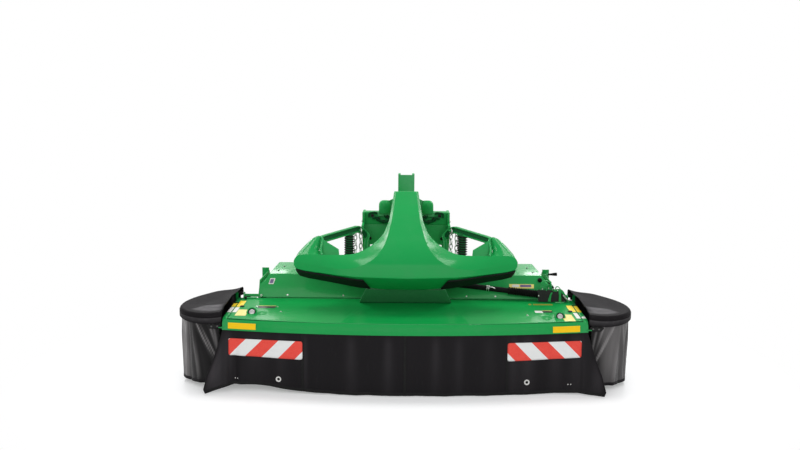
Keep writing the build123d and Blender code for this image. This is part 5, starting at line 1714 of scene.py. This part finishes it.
def makeDrive():
    low, high = drive["bellows"]
    points = [driveAt(blendOf(low, high, i / 6)) for i in range(7)]
    grown("drive_bellows", "bellows", points, "mower", "guardPlastic", "guard_plastic", smooth=70.0,
          edges=[(i, i + 1) for i in range(6)], Ribs=drive["ribs"], Radius=drive["radius"],
          Rib_depth=drive["ribDepth"])
    along = (driveAt(1.1) - driveAt(0.3)).normalized()
    bands = [turnedMesh(driveAt(x), along, [(0.0, 0.023), (0.0, r), (0.002, r + 0.002), (0.014, r + 0.002),
                                           (0.016, r), (0.016, 0.023)], 28)
             for x, r in ((0.300, 0.028), (0.885, 0.031), (1.128, 0.031))]
    newPiece("drive_collars", *joined(*bands), "mower", "guardPlastic", smooth=35.0)
    ring = [turnedMesh(driveAt(x), along, [(0.0, 0.024), (0.0, 0.0270), (0.006, 0.0270), (0.006, 0.024)], 28)
            for x in (0.700, 0.716)]
    path = [driveAt(0.705, 0.026, 0.005), driveAt(0.720, 0.034, 0.018), driveAt(0.748, 0.036, 0.020),
            driveAt(0.770, 0.030, 0.010)]
    ring.append(sweptMesh(alongPath(path, Vector((0, -1, 0))), ringSection(0.0035, 8)))
    newPiece("drive_clips", *joined(*ring), "mower", "zincSteel", smooth=40.0)


def rodMesh(a, b, radius, count=18, tip=0.0015):
    long = (b - a).length
    shape = [(0.0, 0.0001), (0.0, radius - tip), (tip, radius), (long - tip, radius), (long, radius - tip),
             (long, 0.0001)]
    return turnedMesh(a, (b - a).normalized(), shape, count)


def uprightPlate(depth, outline, thick, side=1):
    # a plate that faces the front: its outline is (x, height)
    return plateMesh([at(side * x, depth, z) for x, z in outline], Vector((0, thick, 0)))


def depthPin(x, z, front, rear, radius, count=18):
    return rodMesh(at(x, front, z), at(x, rear, z), radius, count)


tensioner = {
    "plateThick": 0.006,
    "plates": (      # depth, then the outline as (x, height)
        (0.7600, ((1.245, 0.690), (1.258, 0.690), (1.247, 0.666), (1.242, 0.611), (1.217, 0.611),
                  (1.227, 0.648), (1.236, 0.674))),
        (0.7590, ((1.306, 0.714), (1.333, 0.710), (1.329, 0.666), (1.334, 0.612), (1.311, 0.612),
                  (1.312, 0.666))),
        (0.7640, ((1.262, 0.700), (1.270, 0.718), (1.322, 0.722), (1.334, 0.712), (1.334, 0.700))),
        (0.7660, ((1.333, 0.718), (1.352, 0.700), (1.362, 0.682), (1.378, 0.660), (1.390, 0.632),
                  (1.402, 0.606), (1.384, 0.606), (1.374, 0.634), (1.356, 0.664), (1.333, 0.690))),
        (0.7900, ((1.150, 0.704), (1.192, 0.704), (1.192, 0.735), (1.152, 0.731))),
        (0.7860, ((1.199, 0.704), (1.262, 0.704), (1.260, 0.742), (1.230, 0.750), (1.204, 0.740)))),
    "strapBend": 0.012, "strapThick": 0.0055,
    "straps": (      # depth, breadth, then the corners as (x, height)
        (0.792, 0.022, ((1.161, 0.704), (1.161, 0.764), (1.182, 0.784), (1.210, 0.788), (1.236, 0.772),
                        (1.262, 0.742), (1.272, 0.704))),
        (0.776, 0.020, ((1.204, 0.704), (1.210, 0.752), (1.230, 0.762), (1.250, 0.730), (1.256, 0.704))),
        (0.770, 0.018, ((1.280, 0.704), (1.286, 0.738), (1.306, 0.742), (1.326, 0.716)))),
    "shadePlateDepth": 0.7685, "shadePlateThick": 0.002,
    "guard": ((1.134, 0.6095), (1.392, 0.6095), (1.362, 0.664), (1.334, 0.700), (1.306, 0.712),
              (1.134, 0.7095)),
    "pins": (      # x, height, front, rear, radius
        (1.228, 0.768, 0.772, 0.800, 0.007), (1.262, 0.732, 0.770, 0.800, 0.009),
        (1.346, 0.668, 0.762, 0.768, 0.007)),
    "nuts": (
        (1.172, 0.716, 0.782, 0.791, 0.0055), (1.226, 0.724, 0.778, 0.787, 0.0055),
        (1.300, 0.7085, 0.756, 0.764, 0.0050), (1.139, 0.661, 0.762, 0.770, 0.0065))}


def makeTensioner():
    # tensioner at the side gearbox: plates, straps, pins and nuts, with a black plate over the belt opening
    # as painted shade
    t = tensioner
    plates = [uprightPlate(depth, outline, t["plateThick"]) for depth, outline in t["plates"]]
    newPiece("drive_plates", *joined(*plates), "mower", "greenPaint", "green_paint", bevel=0.0010)
    arches = []
    for depth, breadth, corners in t["straps"]:
        path = roundedPath([at(x, depth, z) for x, z in corners], [t["strapBend"]] * 5, 4)
        arches.append(sweptMesh(alongPath(path, Vector((0, 1, 0))),
                                roundedBox(t["strapThick"], breadth, 0.0014, 2)))
    newPiece("drive_straps", *joined(*arches), "mower", "greenPaint", "green_paint", smooth=35.0)
    # black plate standing for the shade in the belt opening
    dark = [uprightPlate(t["shadePlateDepth"], t["guard"], t["shadePlateThick"])]
    dark += [depthPin(*pin) for pin in t["pins"]]
    newPiece("drive_pins", *joined(*dark), "mower", "blackPaint", smooth=40.0)
    bright = [depthPin(*nut, count=12) for nut in t["nuts"]]
    newPiece("drive_nuts", *joined(*bright), "mower", "zincSteel", smooth=40.0)


tensionCoil = {"turns": 8, "steps": 10, "reach": 0.0065, "wire": 0.0018,
               "ends": (("a", (1.346, 0.7600, 0.668), (1.380, 0.7600, 0.632)),
                        ("b", (1.380, 0.7600, 0.632), (1.424, 0.7600, 0.622)))}


def makeTensionSprings():
    for letter, a, b in tensionCoil["ends"]:
        start, along = at(*a), at(*b) - at(*a)
        across = along.cross(Vector((0, 1, 0))).normalized()
        back = along.cross(across).normalized()
        path = []
        for k in range(tensionCoil["turns"] * tensionCoil["steps"] + 1):
            angle = math.tau * k / tensionCoil["steps"]
            path.append(start + along * (k / (tensionCoil["turns"] * tensionCoil["steps"])) +
                        (across * math.cos(angle) + back * math.sin(angle)) * tensionCoil["reach"])
        newPiece(f"tension_spring_{letter}",
                 *sweptMesh(alongPath(path, along.normalized()), ringSection(tensionCoil["wire"], 6)),
                 "mower", "zincSteel", smooth=60.0)


knob = {"place": (1.170, 0.952, 0.764), "towards": (0, -1, 0.15),
        "shape": [(0.000, 0.0001), (0.000, 0.007), (0.012, 0.007), (0.014, 0.013), (0.020, 0.0175),
                  (0.029, 0.0195), (0.037, 0.0180), (0.043, 0.0110), (0.045, 0.0001)]}
lever = {"grip": (1.322, 1.430, 0.733), "towards": (1, 0, 0.04),
         "gripShape": [(0.000, 0.0001), (0.000, 0.0085), (0.030, 0.0100), (0.062, 0.0145), (0.074, 0.0160),
                       (0.082, 0.0145), (0.084, 0.0001)],
         "stem": ((1.282, 1.430, 0.7315), (1.326, 1.430, 0.7332)), "stemRadius": 0.0065,
         "lugDepth": 1.438, "lugThick": 0.008,
         "lug": ((1.302, 0.676), (1.322, 0.676), (1.326, 0.738), (1.318, 0.752), (1.304, 0.748))}


def makeKnobAndLever():
    head = turnedMesh(at(*knob["place"]), Vector(knob["towards"]).normalized(), knob["shape"], 24)
    newPiece("drive_knob", *head, "mower", "guardPlastic", smooth=50.0)
    # shift lever of the conditioner drive, its grip beside the hood's rear
    grip = turnedMesh(at(*lever["grip"]), Vector(lever["towards"]).normalized(), lever["gripShape"], 20)
    newPiece("lever_grip", *grip, "mower", "guardPlastic", smooth=50.0)
    low, high = (at(*spot) for spot in lever["stem"])
    stem = joined(rodMesh(low, high, lever["stemRadius"], 14),
                  uprightPlate(lever["lugDepth"], lever["lug"], lever["lugThick"]))
    newPiece("lever_stem", *stem, "mower", "greenPaint", smooth=40.0)


rearBar = {"face": ((1.271, 0.612), (1.404, 0.612), (1.404, 0.632), (1.396, 0.637), (1.271, 0.637)),
           "faceDepth": 0.868, "faceThick": 0.014,
           "foot": ((1.285, 0.818), (1.400, 0.818), (1.400, 0.858), (1.285, 0.858)),
           "footHeight": 0.6085, "footThick": 0.004,
           "end": ((-0.026, 0), (0.046, 0), (0.046, 0.040), (0.020, 0.052), (-0.010, 0.034)),
           "endPlace": (1.397, 0.838, 0.606), "endThick": 0.007,
           "lip": ((1.342, 0.606), (1.404, 0.606), (1.404, 0.618), (1.342, 0.618)),
           "lipDepth": 0.862, "lipThick": 0.006,
           "stop": (1.372, 0.790, 0.609, 0.628, 0.011),      # x, depth, foot, top, radius
           "pins": ((1.2460, 0.628, 0.848, 0.866, 0.011), (1.392, 0.640, 0.856, 0.868, 0.007))}


def makeRearBars():
    # bar between the hood's foot and the shield's hinge, over a rubber lip, with its pins
    b = rearBar
    endX, endDepth, endHeight = b["endPlace"]
    stopX, stopDepth, stopFoot, stopTop, stopRadius = b["stop"]
    for name, side in bothSides:
        foot = [at(side * x, depth, b["footHeight"]) for x, depth in b["foot"]]
        end = [at(side * endX, endDepth + u, endHeight + v) for u, v in b["end"]]
        bar = joined(uprightPlate(b["faceDepth"], b["face"], b["faceThick"], side),
                     plateMesh(foot, Vector((0, 0, b["footThick"]))),
                     plateMesh(end, Vector((b["endThick"], 0, 0))))
        newPiece(f"rear_bar_{name}", *bar, "mower", "greenPaint", "green_paint", bevel=0.0012)
        lip = joined(uprightPlate(b["lipDepth"], b["lip"], b["lipThick"], side),
                     rodMesh(at(side * stopX, stopDepth, stopFoot), at(side * stopX, stopDepth, stopTop),
                             stopRadius, 14))
        newPiece(f"rear_lip_{name}", *lip, "mower", "trimRubber", smooth=35.0)
        pins = [depthPin(side * x, z, front, rear, radius, 6) for x, z, front, rear, radius in b["pins"]]
        newPiece(f"rear_pins_{name}", *joined(*pins), "mower", "zincSteel", smooth=35.0)


def makeDeckFittings():
    # small screwed fittings on the deck
    spots, facing = [], []
    for x, d in ((-1.013, 0.390), (0.986, 0.335), (-1.062, 0.545), (-1.236, 0.545)):
        spots.append(deckAt(x, d, 0.001))
        facing.append((0, -0.05, 1))
    grown("deck_screws", "studs", spots, "mower", "zincSteel", facing=facing, Head_radius=0.006,
          Head_height=0.005, Washer_radius=0.009, Sides=6)
    pads = []
    for x, d in ((-1.378, 0.548), (1.376, 0.462)):
        pads.append(turnedMesh(deckAt(x * 0.985, d, 0.0), Vector((0, -0.05, 1)).normalized(),
                               [(0.0, 0.0001), (0.0, 0.017), (0.002, 0.019), (0.006, 0.018), (0.008, 0.012),
                                (0.004, 0.0001)], 22))
    newPiece("deck_plugs", *joined(*pads), "mower", "trimRubber", smooth=40.0)


def makeRearBolts():
    spots, facing = [], []
    for side in (-1, 1):
        for d, z in ((1.28, 0.50), (1.36, 0.40), (1.20, 0.28), (1.40, 0.24), (1.04, 0.26), (1.30, 0.70),
                     (1.44, 0.70)):
            spots.append(at(side * 1.2285, d, z))
            facing.append((side, 0, 0))
        for d, z in ((1.60, 1.20), (1.85, 1.20), (1.60, 0.86), (1.85, 0.86), (2.02, 0.80), (2.02, 0.64)):
            spots.append(at(side * 0.4125, d, z))
            facing.append((side, 0, 0))
    grown("frame_bolts", "studs", spots, "mower", "zincSteel", facing=facing, Head_radius=0.0085,
          Head_height=0.007, Washer_radius=0.0135, Sides=6)
    ring = [(0.062 * math.cos(k * math.pi / 3), 0.062 * math.sin(k * math.pi / 3)) for k in range(6)]
    spots = [at(side * 1.2420, 1.130 + a, 0.430 + b) for side in (-1, 1) for a, b in ring]
    grown("bearing_bolts", "studs", spots, "mower", "zincSteel",
          facing=[(s, 0, 0) for s in (-1, 1) for _ in ring],
          Head_radius=0.007, Head_height=0.006, Washer_radius=0.010, Sides=6)


makeHoodDetails()
makeDrive()
makeTensioner()
makeTensionSprings()
makeKnobAndLever()
makeRearBars()
makeDeckFittings()
makeRearBolts()
print("hood, drive and fittings made")
